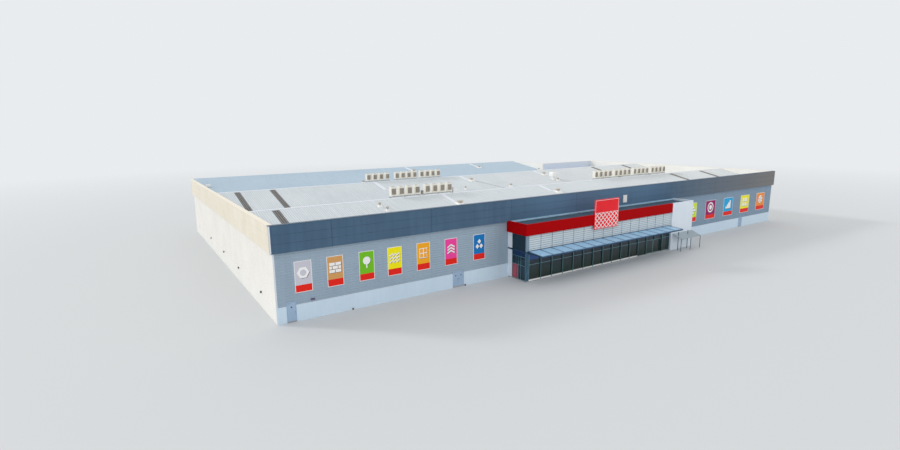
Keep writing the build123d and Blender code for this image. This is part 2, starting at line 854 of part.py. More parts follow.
def side_glazing():
    """The glazed left return between the corner post and the pier."""
    half = bar_width / 2
    x0, x1 = entrance_left, entrance_left + bar_depth
    front, back = front_plane + corner_post_depth, -pier_width
    y_lines = [front + half] + [-y for y in sorted(side_mullions, reverse=True)] + [back - half]
    under = deck_top - deck_thickness
    low = floor_thickness + half
    low_cells = cells(y_lines, [low, side_transom_height, side_header_bottom])
    high_cells = cells([front + half, back - half], [side_header_top + bar_width, under - half])
    plate = block(x0, x1, front, back, floor_thickness, under)
    header = [(front + bar_width, back - bar_width, side_header_bottom + half, side_header_top - half)]
    frame = plate - [block(x0, x1, y0, y1, z0, z1) for y0, y1, z0, z1 in low_cells + high_cells + header]
    middle = (x0 + x1) / 2
    pane_x = (middle - glass_thickness / 2, middle + glass_thickness / 2)
    red, glazed = [], []
    for y0, y1, z0, z1 in low_cells:
        is_red = z0 < side_transom_height - bar_width and y1 > -side_mullions[red_side_panels - 1]
        (red if is_red else glazed).append(block(*pane_x, y0, y1, z0, z1))
    glazed += [block(*pane_x, y0, y1, z0, z1) for y0, y1, z0, z1 in high_cells]
    save("side_panels", *red, *[block(*pane_x, y0, y1, z0, z1) for y0, y1, z0, z1 in header])
    return frame, glazed


def canopy():
    """Tapered cantilever brackets that carry glass panes and a front edge beam."""
    y_back = front_plane
    y_front = front_plane - canopy_reach
    y_beam = y_front + edge_beam_width
    fall = (canopy_back_height - canopy_front_height) / canopy_reach

    def seat(y):
        """Height of the glass's underside at y."""
        return canopy_back_height + fall * (y - y_back)

    bracket = [
        (y_back, seat(y_back)), (y_beam, seat(y_beam)),
        (y_beam, seat(y_beam) - bracket_tip), (y_back, seat(y_back) - bracket_root),
    ]
    lines = [canopy_left + canopy_pitch * i for i in range(canopy_bay_count + 1)]
    half = bracket_width / 2
    save("canopy_brackets", *[along_x(bracket, x - half, x + half) for x in lines])
    beam = [
        (y_front, seat(y_front) - edge_beam_height), (y_beam, seat(y_beam) - edge_beam_height),
        (y_beam, seat(y_beam)), (y_front, seat(y_front)),
    ]
    save("canopy_beams", along_x(beam, lines[0] - half, lines[-1] + half),
         block(entrance_left - bar_width, entrance_left, front_plane, -plinth_thickness,
               canopy_back_height - edge_beam_height, canopy_back_height))
    pane = [
        (y_back, seat(y_back)), (y_front, seat(y_front)),
        (y_front, seat(y_front) + canopy_glass), (y_back, seat(y_back) + canopy_glass),
    ]
    gap = panel_joint / 2
    save("canopy_glass", *[along_x(pane, x0 + gap, x1 - gap) for x0, x1 in zip(lines, lines[1:])])


def boards():
    """Poster boards on the wall, the red board over the entrance and the small service box."""
    left = [block(x, x + left_poster_width, -poster_thickness, 0, left_poster_bottom,
                  left_poster_bottom + left_poster_height)
            for x in left_posters]
    first = block_right + right_poster_from_block
    last = hall_length - right_poster_from_right - right_poster_width
    step = (last - first) / (right_poster_count - 1)
    right = [block(x, x + right_poster_width, -poster_thickness, 0, right_poster_bottom,
                   right_poster_bottom + right_poster_height)
             for x in (first + step * i for i in range(right_poster_count))]
    save("poster_boards", *left, *right)
    sign_top = sign_bottom + sign_height
    board = block(sign_left, sign_left + sign_width, band_plane - sign_thickness, band_plane,
                  sign_bottom, sign_top)
    for x in (sign_left + sign_width / 4, sign_left + 3 * sign_width / 4 - sign_post):
        board = board + block(x, x + sign_post, band_plane, band_plane + sign_post,
                              entrance_height, sign_top - sign_post)
    save("sign_board", board)
    low = deck_top + service_box_above_deck
    save("service_box",
         block(service_box_x, service_box_x + service_box_width, -fascia_thickness - service_box_depth,
               -fascia_thickness, low, low + service_box_height))


def shelter():
    """A light lean-to roof on three posts, fixed along the white block."""
    y_back = band_plane
    y_front = band_plane - shelter_reach
    x0, x1 = shelter_left, shelter_left + shelter_width
    sheet = [
        (y_back, shelter_back_height), (y_front, shelter_front_height),
        (y_front, shelter_front_height + shelter_sheet), (y_back, shelter_back_height + shelter_sheet),
    ]
    half = shelter_post / 2
    fall = (shelter_back_height - shelter_front_height) / shelter_reach
    rail_low = shelter_front_height - shelter_rail
    rail = [
        (y_front, rail_low), (y_front + shelter_post, rail_low),
        (y_front + shelter_post, shelter_front_height + fall * shelter_post),
        (y_front, shelter_front_height),
    ]
    save("shelter_roof", along_x(sheet, x0, x1) + along_x(rail, x0, x1))
    save("shelter_posts", *[block(x - half, x + half, y_front, y_front + shelter_post, 0, rail_low)
                            for x in (x0 + half, (x0 + x1) / 2, x1 - half)])


os.makedirs("parts", exist_ok=True)
floors()
front_wall()
other_walls()
plinths()
fascias()
copings()
roof()
ridge_caps()
gutters()
columns()
rafters()
roof_vents()
air_units()
door_frames()
escape_doors()
storefront()
entrance_doors()
entrance_box()
canopy()
boards()
shelter()
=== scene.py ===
"""Looks of a 1:10 scale model of a home improvement store, built round its solid model.

Sizes here are millimetres of the model, so 100 mm is 1 m on the real building. Places are counted
from the hall's front left ground corner: X along the entrance front, Y to the back, Z up.
"""
import math

import bmesh
import bpy
from mathutils import Matrix, Vector


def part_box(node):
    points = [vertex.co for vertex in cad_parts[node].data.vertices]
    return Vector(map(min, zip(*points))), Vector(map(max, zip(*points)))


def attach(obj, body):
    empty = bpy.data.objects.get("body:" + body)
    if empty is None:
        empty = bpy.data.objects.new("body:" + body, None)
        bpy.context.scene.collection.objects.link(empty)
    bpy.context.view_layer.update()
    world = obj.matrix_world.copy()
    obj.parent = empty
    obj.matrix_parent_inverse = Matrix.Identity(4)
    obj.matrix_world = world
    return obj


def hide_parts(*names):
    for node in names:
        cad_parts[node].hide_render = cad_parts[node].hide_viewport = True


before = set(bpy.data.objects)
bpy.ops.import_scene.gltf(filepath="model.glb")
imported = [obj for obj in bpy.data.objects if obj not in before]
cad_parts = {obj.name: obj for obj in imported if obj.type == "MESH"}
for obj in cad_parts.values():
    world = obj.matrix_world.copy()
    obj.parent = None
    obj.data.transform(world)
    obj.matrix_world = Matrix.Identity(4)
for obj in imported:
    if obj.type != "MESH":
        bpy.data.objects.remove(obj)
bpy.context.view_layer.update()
scene = bpy.context.scene

MM = 0.001
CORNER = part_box("floor_main")[0]
FRONT, BACK = Vector((0, -1, 0)), Vector((0, 1, 0))
LEFT, RIGHT = Vector((-1, 0, 0)), Vector((1, 0, 0))
UP = Vector((0, 0, 1))


def at(place):
    """A place in millimetres from the hall's corner, in the frame's metres."""
    return CORNER + Vector(place) * MM


def span(node):
    """A node's lowest and highest corner, in millimetres from the hall's corner."""
    return [(corner - CORNER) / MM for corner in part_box(node)]


def solids(node):
    """The box of each separate solid of a node, from left to right."""
    shape = bmesh.new()
    shape.from_mesh(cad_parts[node].data)
    bmesh.ops.remove_doubles(shape, verts=shape.verts, dist=0.01 * MM)
    waiting = set(shape.verts)
    boxes = []
    while waiting:
        group = [waiting.pop()]
        for vert in group:
            for edge in vert.link_edges:
                other = edge.other_vert(vert)
                if other in waiting:
                    waiting.remove(other)
                    group.append(other)
        places = [(vert.co - CORNER) / MM for vert in group]
        boxes.append([Vector(pick(p[i] for p in places) for i in range(3)) for pick in (min, max)])
    shape.free()
    return sorted(boxes, key=lambda box: (round(box[0].x), round(box[0].y)))


HALL_LENGTH, _, PARAPET = span("front_wall")[1]
HALL_DEPTH = span("floor_main")[1].y
NOTCH_X = span("floor_main")[1].x
NOTCH_Y = span("floor_extensions")[1].y
PLINTH_TOP = span("front_plinth")[1].z
FASCIA_LOW = span("front_fascia")[0].z
BOX_LEFT = span("red_band")[0].x
BOX_RIGHT = span("block_front_wall")[1].x
STORE_FRONT = span("entrance_deck")[0].y


def linear(colour):
    """An sRGB hex colour as linear red, green, blue and full alpha."""
    shares = [int(colour[i:i + 2], 16) / 255 for i in (0, 2, 4)]
    return [s / 12.92 if s <= 0.04045 else ((s + 0.055) / 1.055) ** 2.4 for s in shares] + [1.0]


def add(tree, kind, values=None, **settings):
    """Adds a node with its settings, and sets or links its inputs."""
    made = tree.nodes.new(kind)
    for name, value in settings.items():
        setattr(made, name, value)
    for socket, value in (values or {}).items():
        if isinstance(value, bpy.types.NodeSocket):
            tree.links.new(value, made.inputs[socket])
        else:
            made.inputs[socket].default_value = value
    return made


def per(size):
    """Pattern scale for a feature of this size in millimetres."""
    return 1 / (size * MM)


def start(name, roughness, metallic=0.0, gloss=0.5):
    """A new material, its tree, its shader and its object coordinates."""
    made = bpy.data.materials.new(name)
    made.use_nodes = True
    tree = made.node_tree
    shader = tree.nodes["Principled BSDF"]
    shader.inputs["Roughness"].default_value = roughness
    shader.inputs["Metallic"].default_value = metallic
    shader.inputs["Specular IOR Level"].default_value = gloss
    place = add(tree, "ShaderNodeTexCoord").outputs["Object"]
    return made, tree, shader, place


def ramp(tree, factor, shades, low=0.3, high=0.7):
    """Colours spread evenly between two levels of a pattern."""
    made = add(tree, "ShaderNodeValToRGB", {"Fac": factor})
    stops = made.color_ramp.elements
    while len(stops) < len(shades):
        stops.new(0.5)
    for number, (stop, shade) in enumerate(zip(stops, shades)):
        stop.position = low + (high - low) * number / (len(shades) - 1)
        stop.color = linear(shade)
    return made.outputs["Color"]


def tone(tree, place, patch, streak=0.0, sheet=0.0):
    """A level about one half that drifts in patches, in streaks down a face and from sheet to sheet."""
    level = add(tree, "ShaderNodeTexNoise", {"Vector": place, "Scale": per(patch), "Detail": 5.0}).outputs["Fac"]
    if streak:
        stretched = add(tree, "ShaderNodeMapping", {"Vector": place, "Scale": (1.0, 1.0, 0.04)})
        run = add(tree, "ShaderNodeTexNoise",
                  {"Vector": stretched.outputs[0], "Scale": per(streak), "Detail": 3.0})
        level = add(tree, "ShaderNodeMix", {0: 0.45, 2: level, 3: run.outputs["Fac"]}).outputs[0]
    if sheet:
        cell = add(tree, "ShaderNodeVectorMath", {0: place, 1: (sheet * MM,) * 3}, operation="DIVIDE")
        cell = add(tree, "ShaderNodeVectorMath", {0: cell.outputs[0]}, operation="FLOOR")
        chance = add(tree, "ShaderNodeTexWhiteNoise", {"Vector": cell.outputs[0]})
        level = add(tree, "ShaderNodeMix", {0: 0.1, 2: level, 3: chance.outputs["Value"]}).outputs[0]
    return level


def relief(tree, shader, height, depth):
    """Bump of a real depth in millimetres."""
    bump = add(tree, "ShaderNodeBump", {"Height": height, "Strength": 1.0, "Distance": depth * MM})
    tree.links.new(bump.outputs["Normal"], shader.inputs["Normal"])


def coated_steel(name, shades, sheet=100.0, streak=16.0, roughness=0.42, gloss=0.4):
    """Coil-coated steel sheet: satin, a little uneven from sheet to sheet, with faint rain streaks."""
    made, tree, shader, place = start(name, roughness, gloss=gloss)
    level = tone(tree, place, 420.0, streak, sheet)
    tree.links.new(ramp(tree, level, shades), shader.inputs["Base Color"])
    peel = add(tree, "ShaderNodeTexNoise", {"Vector": place, "Scale": per(2.5), "Detail": 2.0})
    relief(tree, shader, peel.outputs["Fac"], 0.05)
    return made


def front_cladding():
    """Coil-coated steel wall sheet: grey outside with a blue tint of painted sky shade, and white on the liner side.
    """
    made = coated_steel("coil_coated_wall_sheet_grey", ("94a7b8", "9cb0c1", "a3b6c6"), sheet=1420.0)
    # Darker right of the entrance box: painted shade.
    tinted(made, beyond("x", BOX_RIGHT), "d4e0ea", "MULTIPLY")
    return tinted(made, beyond("y", 15.0), "e6e8ea")


def back_cladding():
    """Coil-coated steel wall sheet: warm white outside, the painted sunlit look of the side walls, and a cool
    blue-white of painted sky shade where it faces the roof.
    """
    made = coated_steel("coil_coated_wall_sheet_back", ("e6e2da", "eeebe4", "f4f1ec"), sheet=1420.0)
    # Faces turned to the front get a cool blue-white: painted sky shade.
    return tinted(made, turned_to_front, "dbe3f2")


def front_coping():
    """Coated steel coping: slate along the front, blued by painted sky shade, and pale on the other parapets as
    painted sunlight.
    """
    made = coated_steel("coated_steel_coping", ("42576b", "4c6277", "576d82"), gloss=0.25)
    # Beyond the front, the pale colour is painted sunlight.
    return tinted(made, beyond("y", 31.0), "efe7d6")


def beyond(axis, limit):
    """A mask of what lies beyond a plane."""
    def mask(tree, coordinates):
        parts = add(tree, "ShaderNodeSeparateXYZ", {0: coordinates.outputs["Object"]})
        level = at((limit, limit, limit))["xyz".index(axis)]
        return add(tree, "ShaderNodeMath", {0: parts.outputs["xyz".index(axis)], 1: level},
                   operation="GREATER_THAN").outputs[0]
    return mask


def faded(axis, first, last, most):
    """A mask that grows evenly from nothing at one plane to its most at another."""
    def mask(tree, coordinates):
        parts = add(tree, "ShaderNodeSeparateXYZ", {0: coordinates.outputs["Object"]})
        low, high = (at((limit, limit, limit))["xyz".index(axis)] for limit in (first, last))
        return add(tree, "ShaderNodeMapRange",
                   {0: parts.outputs["xyz".index(axis)], 1: low, 2: high, 3: 0.0, 4: most}).outputs[0]
    return mask


def near(axis, middle, full, none, most):
    """A mask at its most close to a plane, which fades evenly to nothing away from it."""
    def mask(tree, coordinates):
        parts = add(tree, "ShaderNodeSeparateXYZ", {0: coordinates.outputs["Object"]})
        plane = at((middle, middle, middle))["xyz".index(axis)]
        away = add(tree, "ShaderNodeMath", {0: parts.outputs["xyz".index(axis)], 1: plane}, operation="SUBTRACT")
        away = add(tree, "ShaderNodeMath", {0: away.outputs[0]}, operation="ABSOLUTE")
        return add(tree, "ShaderNodeMapRange",
                   {0: away.outputs[0], 1: full * MM, 2: none * MM, 3: most, 4: 0.0}).outputs[0]
    return mask


def turned_to_front(tree, coordinates):
    """A mask of the faces that look towards the entrance front."""
    parts = add(tree, "ShaderNodeSeparateXYZ", {0: coordinates.outputs["Normal"]})
    return add(tree, "ShaderNodeMath", {0: parts.outputs[1], 1: -0.5}, operation="LESS_THAN").outputs[0]


def tinted(made, mask, colour, blend="MIX"):
    """Gives what lies under a mask another plain colour, or a tint of its own."""
    tree = made.node_tree
    shader = tree.nodes["Principled BSDF"]
    outer = shader.inputs["Base Color"].links[0].from_socket
    share = mask(tree, add(tree, "ShaderNodeTexCoord"))
    choice = add(tree, "ShaderNodeMix", {0: share, 6: outer, 7: linear(colour)}, data_type="RGBA", blend_type=blend)
    tree.links.new(choice.outputs[2], shader.inputs["Base Color"])
    return made


def shadow_gap(name, colour):
    """Dark backing behind the joints of the cladding: dull; part rubber gasket, part painted shade in the joints."""
    made, tree, shader, place = start(name, 0.85)
    level = tone(tree, place, 60.0)
    tree.links.new(ramp(tree, level, (colour, colour)), shader.inputs["Base Color"])
    return made


def roof_steel(name, shades):
    """White coil-coated roof sheet: soft sheen, dust in the pans and faint runs down the slope."""
    made, tree, shader, place = start(name, 0.5, gloss=0.3)
    run = add(tree, "ShaderNodeMapping", {"Vector": place, "Scale": (1.0, 0.06, 1.0)})
    dust = add(tree, "ShaderNodeTexNoise", {"Vector": run.outputs[0], "Scale": per(80.0), "Detail": 2.0})
    level = add(tree, "ShaderNodeMix", {0: 0.4, 2: tone(tree, place, 900.0, sheet=1000.0), 3: dust.outputs["Fac"]})
    tree.links.new(ramp(tree, level.outputs[0], shades), shader.inputs["Base Color"])
    return made


def roof_light_sheet():
    """Weathered glass-fibre roof-light sheet: dark grey, half clear, with a fibrous mottle."""
    made, tree, shader, place = start("glass_fibre_roof_light", 0.5, gloss=0.3)
    fibre = add(tree, "ShaderNodeTexNoise", {"Vector": place, "Scale": per(6.0), "Detail": 6.0})
    tree.links.new(ramp(tree, fibre.outputs["Fac"], ("3f4549", "495054", "545b5f")), shader.inputs["Base Color"])
    shader.inputs["Transmission Weight"].default_value = 0.15
    return made


def galvanised_steel():
    """Hot-dip galvanised steel: grey metal with a spangle of flat crystals."""
    made, tree, shader, place = start("galvanised_steel", 0.45, 1.0)
    spangle = add(tree, "ShaderNodeTexVoronoi", {"Vector": place, "Scale": per(3.0)})
    tree.links.new(ramp(tree, spangle.outputs["Color"], ("9ea3a6", "b3b7b9", "c2c6c8")), shader.inputs["Base Color"])
    return made


def anodised_aluminium():
    """Anodised aluminium frames: matt grey metal with fine lines along the drawn bars."""
    made, tree, shader, place = start("anodised_aluminium", 0.4, 1.0)
    drawn = add(tree, "ShaderNodeMapping", {"Vector": place, "Scale": (1.0, 1.0, 0.02)})
    lines = add(tree, "ShaderNodeTexNoise", {"Vector": drawn.outputs[0], "Scale": per(0.8), "Detail": 2.0})
    tree.links.new(ramp(tree, lines.outputs["Fac"], ("6f939a", "7a9ea4", "86a9af")), shader.inputs["Base Color"])
    return made


def painted(name, shades, roughness=0.5, patch=120.0, gloss=0.4):
    """Sprayed paint on steel or board: even and satin, a little duller in patches."""
    made, tree, shader, place = start(name, roughness, gloss=gloss)
    level = tone(tree, place, patch, streak=10.0)
    tree.links.new(ramp(tree, level, shades), shader.inputs["Base Color"])
    worn = add(tree, "ShaderNodeMapRange", {0: level, 3: roughness - 0.06, 4: roughness + 0.08})
    tree.links.new(worn.outputs[0], shader.inputs["Roughness"])
    return made


def render_coat():
    """Painted sand render on block: dead matt white blued by painted sky shade, with a fine grain and soft stains.
    """
    made, tree, shader, place = start("painted_sand_render", 0.88, gloss=0.3)
    tree.links.new(ramp(tree, tone(tree, place, 300.0, 24.0), ("dfebf6", "e6f0fa", "ecf4fc")),
                   shader.inputs["Base Color"])
    sand = add(tree, "ShaderNodeTexNoise", {"Vector": place, "Scale": per(1.5), "Detail": 4.0})
    relief(tree, shader, sand.outputs["Fac"], 0.3)
    return made


def slate_cladding():
    """Coil-coated fascia sheet: satin dark slate blued by painted sky shade, lighter and bluer near the entrance box
    as painted light, and warmer grey towards the right end as a painted reflection.
    """
    made = coated_steel("coil_coated_panel_slate", ("466079", "4d6881", "547089"), 1420.0, 60.0, 0.6, 0.15)
    # Lighter and bluer near the entrance box: painted light.
    tinted(made, near("x", (BOX_LEFT + BOX_RIGHT) / 2, 1300.0, 2400.0, 0.6), "6689a9")
    # Warmer grey towards the right end: painted reflection.
    return tinted(made, faded("x", 7300.0, HALL_LENGTH, 0.95), "827f7c")


def floated_concrete():
    """Power-floated concrete slab: grey, close-grained, with cloudy marks of the float."""
    made, tree, shader, place = start("power_floated_concrete", 0.45)
    cloud = add(tree, "ShaderNodeTexNoise", {"Vector": place, "Scale": per(260.0), "Detail": 8.0, "Distortion": 0.6})
    tree.links.new(ramp(tree, cloud.outputs["Fac"], ("9c9ea0", "aeb0b2", "bdbfc0")), shader.inputs["Base Color"])
    pores = add(tree, "ShaderNodeTexNoise", {"Vector": place, "Scale": per(1.2), "Detail": 3.0})
    relief(tree, shader, pores.outputs["Fac"], 0.1)
    return made


def roofing_felt():
    """Mineral-faced bitumen felt on the low deck: slate grey, gritty and quite dull."""
    made, tree, shader, place = start("mineral_felt", 0.92, gloss=0.2)
    grit = add(tree, "ShaderNodeTexNoise", {"Vector": place, "Scale": per(2.0), "Detail": 6.0})
    level = add(tree, "ShaderNodeMix", {0: 0.4, 2: tone(tree, place, 220.0), 3: grit.outputs["Fac"]})
    tree.links.new(ramp(tree, level.outputs[0], ("43586a", "4b6274", "546b7e")), shader.inputs["Base Color"])
    relief(tree, shader, grit.outputs["Fac"], 0.4)
    return made


def before_front(tree, coordinates):
    """A mask of the glazed return to the left of the entrance front."""
    parts = add(tree, "ShaderNodeSeparateXYZ", {0: coordinates.outputs["Object"]})
    edge = at((span("corner_post")[1].x, 0, 0)).x
    return add(tree, "ShaderNodeMath", {0: parts.outputs[0], 1: edge}, operation="LESS_THAN").outputs[0]


def float_glass(name, colour, roughness=0.02, clear=1.0, patch=90.0):
    """Glass: mirrors the room at a flat angle and shows the dark hall behind it."""
    made, tree, shader, place = start(name, roughness)
    shader.inputs["Transmission Weight"].default_value = clear
    shader.inputs["IOR"].default_value = 1.52
    dust = add(tree, "ShaderNodeTexNoise", {"Vector": place, "Scale": per(patch), "Detail": 4.0})
    tree.links.new(ramp(tree, dust.outputs["Fac"], colour), shader.inputs["Base Color"])
    return made


def storefront_glass():
    """Tinted float glass: dark olive low down as a painted reflection of the ground, darker and bluer upwards up to
    the blue film under the canopy; its dark tint is partly painted shade of the unlit hall behind.
    """
    made = float_glass("tinted_float_glass", ("28352f", "2c4039", "274845"), clear=0.35, patch=320.0)
    # Darker and bluer upwards, away from the painted reflection at the foot.
    tinted(made, faded("z", 110.0, 320.0, 0.85), "12344e")
    tinted(made, beyond("z", 335.0), "1d5fae")
    return tinted(made, before_front, "123a4c")


def side_panel_paint():
    """Two flat colours on the glazed return: red panel low down, dark blue header above."""
    made = painted("painted_infill_panel", ("ab4a5e", "b55265", "bd5a6c"), gloss=0.25)
    return tinted(made, beyond("z", 300.0), "14365e")


def corner_post_paint():
    """Painted corner post: pale grey above the canopy, and dark sea-green below its top as painted shade of the
    canopy.
    """
    made = painted("corner_post_paint", ("32566b", "3b6278", "456d84"), gloss=0.3)
    # Dark below the canopy's top: painted shade.
    return tinted(made, beyond("z", span("canopy_beams")[1].z), "869eae")


def printed_vinyl():
    """Screen-printed vinyl: flat strong inks, taken from the mesh, under a thin gloss."""
    made, tree, shader, _ = start("printed_vinyl", 0.5, gloss=0.25)
    ink = add(tree, "ShaderNodeVertexColor", layer_name="ink")
    tree.links.new(ink.outputs["Color"], shader.inputs["Base Color"])
    return made


def coil_fins():
    """Aluminium heat-exchanger fins: close-set upright lines in a tan grey, partly dust and partly painted shade of
    the coil face.
    """
    made, tree, shader, place = start("aluminium_coil_fins", 0.6, 0.2)
    # Real fins are 2 mm apart; they are drawn at 30 mm, which is 3 mm here, so that they show.
    fins = add(tree, "ShaderNodeTexWave", {"Vector": place, "Scale": per(3.0) / (2 * math.pi) * 2.0})
    tree.links.new(ramp(tree, fins.outputs["Fac"], ("857a6e", "b3a899"), 0.0, 1.0), shader.inputs["Base Color"])
    return made


def polycarbonate():
    """Multiwall polycarbonate sheet: milky, half clear, with the lines of its inner walls."""
    made, tree, shader, place = start("multiwall_polycarbonate", 0.3)
    shader.inputs["Transmission Weight"].default_value = 0.35
    shader.inputs["IOR"].default_value = 1.58
    walls = add(tree, "ShaderNodeTexWave", {"Vector": place, "Scale": per(10.0) / (2 * math.pi) * 2.0})
    tree.links.new(ramp(tree, walls.outputs["Fac"], ("a9b9c2", "bccbd3"), 0.0, 1.0), shader.inputs["Base Color"])
    return made


def paint_node(finish, *nodes):
    """Gives CAD nodes their finish."""
    for node in nodes:
        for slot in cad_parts[node].material_slots:
            slot.material = finish


def piece(name, mesh, slot, finish=None, body="building"):
    """A finished mesh as a named piece that rides on a body."""
    mesh.name = name
    if finish:
        mesh.materials.clear()
        mesh.materials.append(finish)
    made = bpy.data.objects.new(name, mesh)
    scene.collection.objects.link(made)
    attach(made, body)
    return made


def grown(tree, mesh, values):
    """The plain mesh that a tree of geometry nodes makes of a mesh, with its named inputs set."""
    host = bpy.data.objects.new("host", mesh)
    scene.collection.objects.link(host)
    step = host.modifiers.new("tree", "NODES")
    step.node_group = tree
    for socket in tree.interface.items_tree:
        if socket.in_out == "INPUT" and socket.name in values:
            step[socket.identifier] = values[socket.name]
    graph = bpy.context.evaluated_depsgraph_get()
    made = bpy.data.meshes.new_from_object(host.evaluated_get(graph), depsgraph=graph)
    bpy.data.objects.remove(host)
    for name in ("size", "turn"):
        if name in made.attributes:
            made.attributes.remove(made.attributes[name])
    return made


def new_tree(name, inputs):
    """An empty geometry tree with its named inputs, its input node and one output."""
    tree = bpy.data.node_groups.new(name, "GeometryNodeTree")
    tree.interface.new_socket("Mesh", in_out="INPUT", socket_type="NodeSocketGeometry")
    for label, kind in inputs.items():
        tree.interface.new_socket(label, in_out="INPUT", socket_type="NodeSocket" + kind)
    tree.interface.new_socket("Mesh", in_out="OUTPUT", socket_type="NodeSocketGeometry")
    return tree, add(tree, "NodeGroupInput").outputs


def end_tree(tree, shape, finish):
    """Ends a tree with real geometry in its finish."""
    real = add(tree, "GeometryNodeRealizeInstances", {0: shape})
    coated = add(tree, "GeometryNodeSetMaterial", {"Geometry": real.outputs[0], "Material": finish})
    add(tree, "NodeGroupOutput", {0: coated.outputs[0]})


def bar_tree():
    """A bar on each point, as long, wide and high as the point says, with a narrower outer face."""
    tree, given = new_tree("tapered_bars", {"Top share": "Float", "Finish": "Material"})
    cube = add(tree, "GeometryNodeMeshCube")
    place = add(tree, "GeometryNodeInputPosition")
    parts = add(tree, "ShaderNodeSeparateXYZ", {0: place.outputs[0]})
    level = add(tree, "ShaderNodeMath", {0: parts.outputs[2], 1: 0.5}, operation="ADD")
    less = add(tree, "ShaderNodeMath", {0: given["Top share"], 1: 1.0}, operation="SUBTRACT")
    share = add(tree, "ShaderNodeMath", {0: level.outputs[0], 1: less.outputs[0], 2: 1.0}, operation="MULTIPLY_ADD")
    across = add(tree, "ShaderNodeMath", {0: parts.outputs[0], 1: share.outputs[0]}, operation="MULTIPLY")
    moved = add(tree, "ShaderNodeCombineXYZ", {0: across.outputs[0], 1: parts.outputs[1], 2: level.outputs[0]})
    bar = add(tree, "GeometryNodeSetPosition", {"Geometry": cube.outputs[0], "Position": moved.outputs[0]})
    size = add(tree, "GeometryNodeInputNamedAttribute", {"Name": "size"}, data_type="FLOAT_VECTOR")
    turn = add(tree, "GeometryNodeInputNamedAttribute", {"Name": "turn"}, data_type="FLOAT_VECTOR")
    spun = add(tree, "FunctionNodeEulerToRotation", {0: turn.outputs[0]})
    bars = add(tree, "GeometryNodeInstanceOnPoints",
               {"Points": given["Mesh"], "Instance": bar.outputs[0], "Rotation": spun.outputs[0],
                "Scale": size.outputs[0]})
    end_tree(tree, bars.outputs[0], given["Finish"])
    return tree


def copy_tree():
    """A copy of one shape on each point."""
    tree, given = new_tree("copies", {"Shape": "Object", "Finish": "Material"})
    shape = add(tree, "GeometryNodeObjectInfo", {"Object": given["Shape"]})
    copies = add(tree, "GeometryNodeInstanceOnPoints",
                 {"Points": given["Mesh"], "Instance": shape.outputs["Geometry"]})
    end_tree(tree, copies.outputs[0], given["Finish"])
    return tree


def guard_tree():
    """A round wire guard on each point: rings at an even gap, and spokes across them."""
    tree, given = new_tree("fan_guard", {"Rings": "Int", "Ring gap": "Float", "Spokes": "Int",
                                         "Wire": "Float", "Finish": "Material"})
    index = add(tree, "GeometryNodeInputIndex").outputs[0]
    wire = add(tree, "GeometryNodeCurvePrimitiveCircle", {"Resolution": 4, "Radius": given["Wire"]})
    centres = add(tree, "GeometryNodePoints", {"Count": given["Rings"]})
    ring = add(tree, "GeometryNodeCurvePrimitiveCircle", {"Resolution": 20, "Radius": 1.0})
    step = add(tree, "ShaderNodeMath", {0: index, 1: 1.0}, operation="ADD")
    radius = add(tree, "ShaderNodeMath", {0: step.outputs[0], 1: given["Ring gap"]}, operation="MULTIPLY")
    rings = add(tree, "GeometryNodeInstanceOnPoints",
                {"Points": centres.outputs[0], "Instance": ring.outputs[0], "Scale": radius.outputs[0]})
    reach = add(tree, "ShaderNodeMath", {0: given["Rings"], 1: given["Ring gap"]}, operation="MULTIPLY")
    tip = add(tree, "ShaderNodeCombineXYZ", {0: reach.outputs[0]})
    spoke = add(tree, "GeometryNodeCurvePrimitiveLine", {"End": tip.outputs[0]})
    hubs = add(tree, "GeometryNodePoints", {"Count": given["Spokes"]})
    angle = add(tree, "ShaderNodeMath", {0: index, 1: 2 * math.pi}, operation="MULTIPLY")
    angle = add(tree, "ShaderNodeMath", {0: angle.outputs[0], 1: given["Spokes"]}, operation="DIVIDE")
    turn = add(tree, "ShaderNodeCombineXYZ", {2: angle.outputs[0]})
    spun = add(tree, "FunctionNodeEulerToRotation", {0: turn.outputs[0]})
    spokes = add(tree, "GeometryNodeInstanceOnPoints",
                 {"Points": hubs.outputs[0], "Instance": spoke.outputs[0], "Rotation": spun.outputs[0]})
    lines = add(tree, "GeometryNodeJoinGeometry")
    tree.links.new(rings.outputs[0], lines.inputs[0])
    tree.links.new(spokes.outputs[0], lines.inputs[0])
    real = add(tree, "GeometryNodeRealizeInstances", {0: lines.outputs[0]})
    guard = add(tree, "GeometryNodeCurveToMesh", {"Curve": real.outputs[0], "Profile Curve": wire.outputs[0]})
    copies = add(tree, "GeometryNodeInstanceOnPoints", {"Points": given["Mesh"], "Instance": guard.outputs[0]})
    end_tree(tree, copies.outputs[0], given["Finish"])
    return tree


BARS, COPIES, GUARD = bar_tree(), copy_tree(), guard_tree()


def bar(start_point, end_point, out, width, height):
    """A row for bars(): a bar from one place to another whose outer face looks out."""
    run = Vector(end_point) - Vector(start_point)
    along = run.normalized()
    turn = Matrix((along.cross(out), along, out)).transposed().to_euler()
    middle = (Vector(start_point) + Vector(end_point)) / 2
    return middle, (width, run.length, height), turn


def points(rows):
    """A mesh of loose points that carry the size and turn of each bar."""
    mesh = bpy.data.meshes.new("points")
    mesh.from_pydata([at(place) for place, _, _ in rows], [], [])
    for name, values in (("size", [Vector(size) * MM for _, size, _ in rows]),
                         ("turn", [Vector(turn) for _, _, turn in rows])):
        kept = mesh.attributes.new(name, "FLOAT_VECTOR", "POINT")
        kept.data.foreach_set("vector", [number for value in values for number in value])
    return mesh


def bars(name, rows, slot, finish, top_share=1.0, body="building"):
    """One piece made of many bars."""
    mesh = grown(BARS, points(rows), {"Top share": top_share, "Finish": finish})
    return piece(name, mesh, slot, body=body)


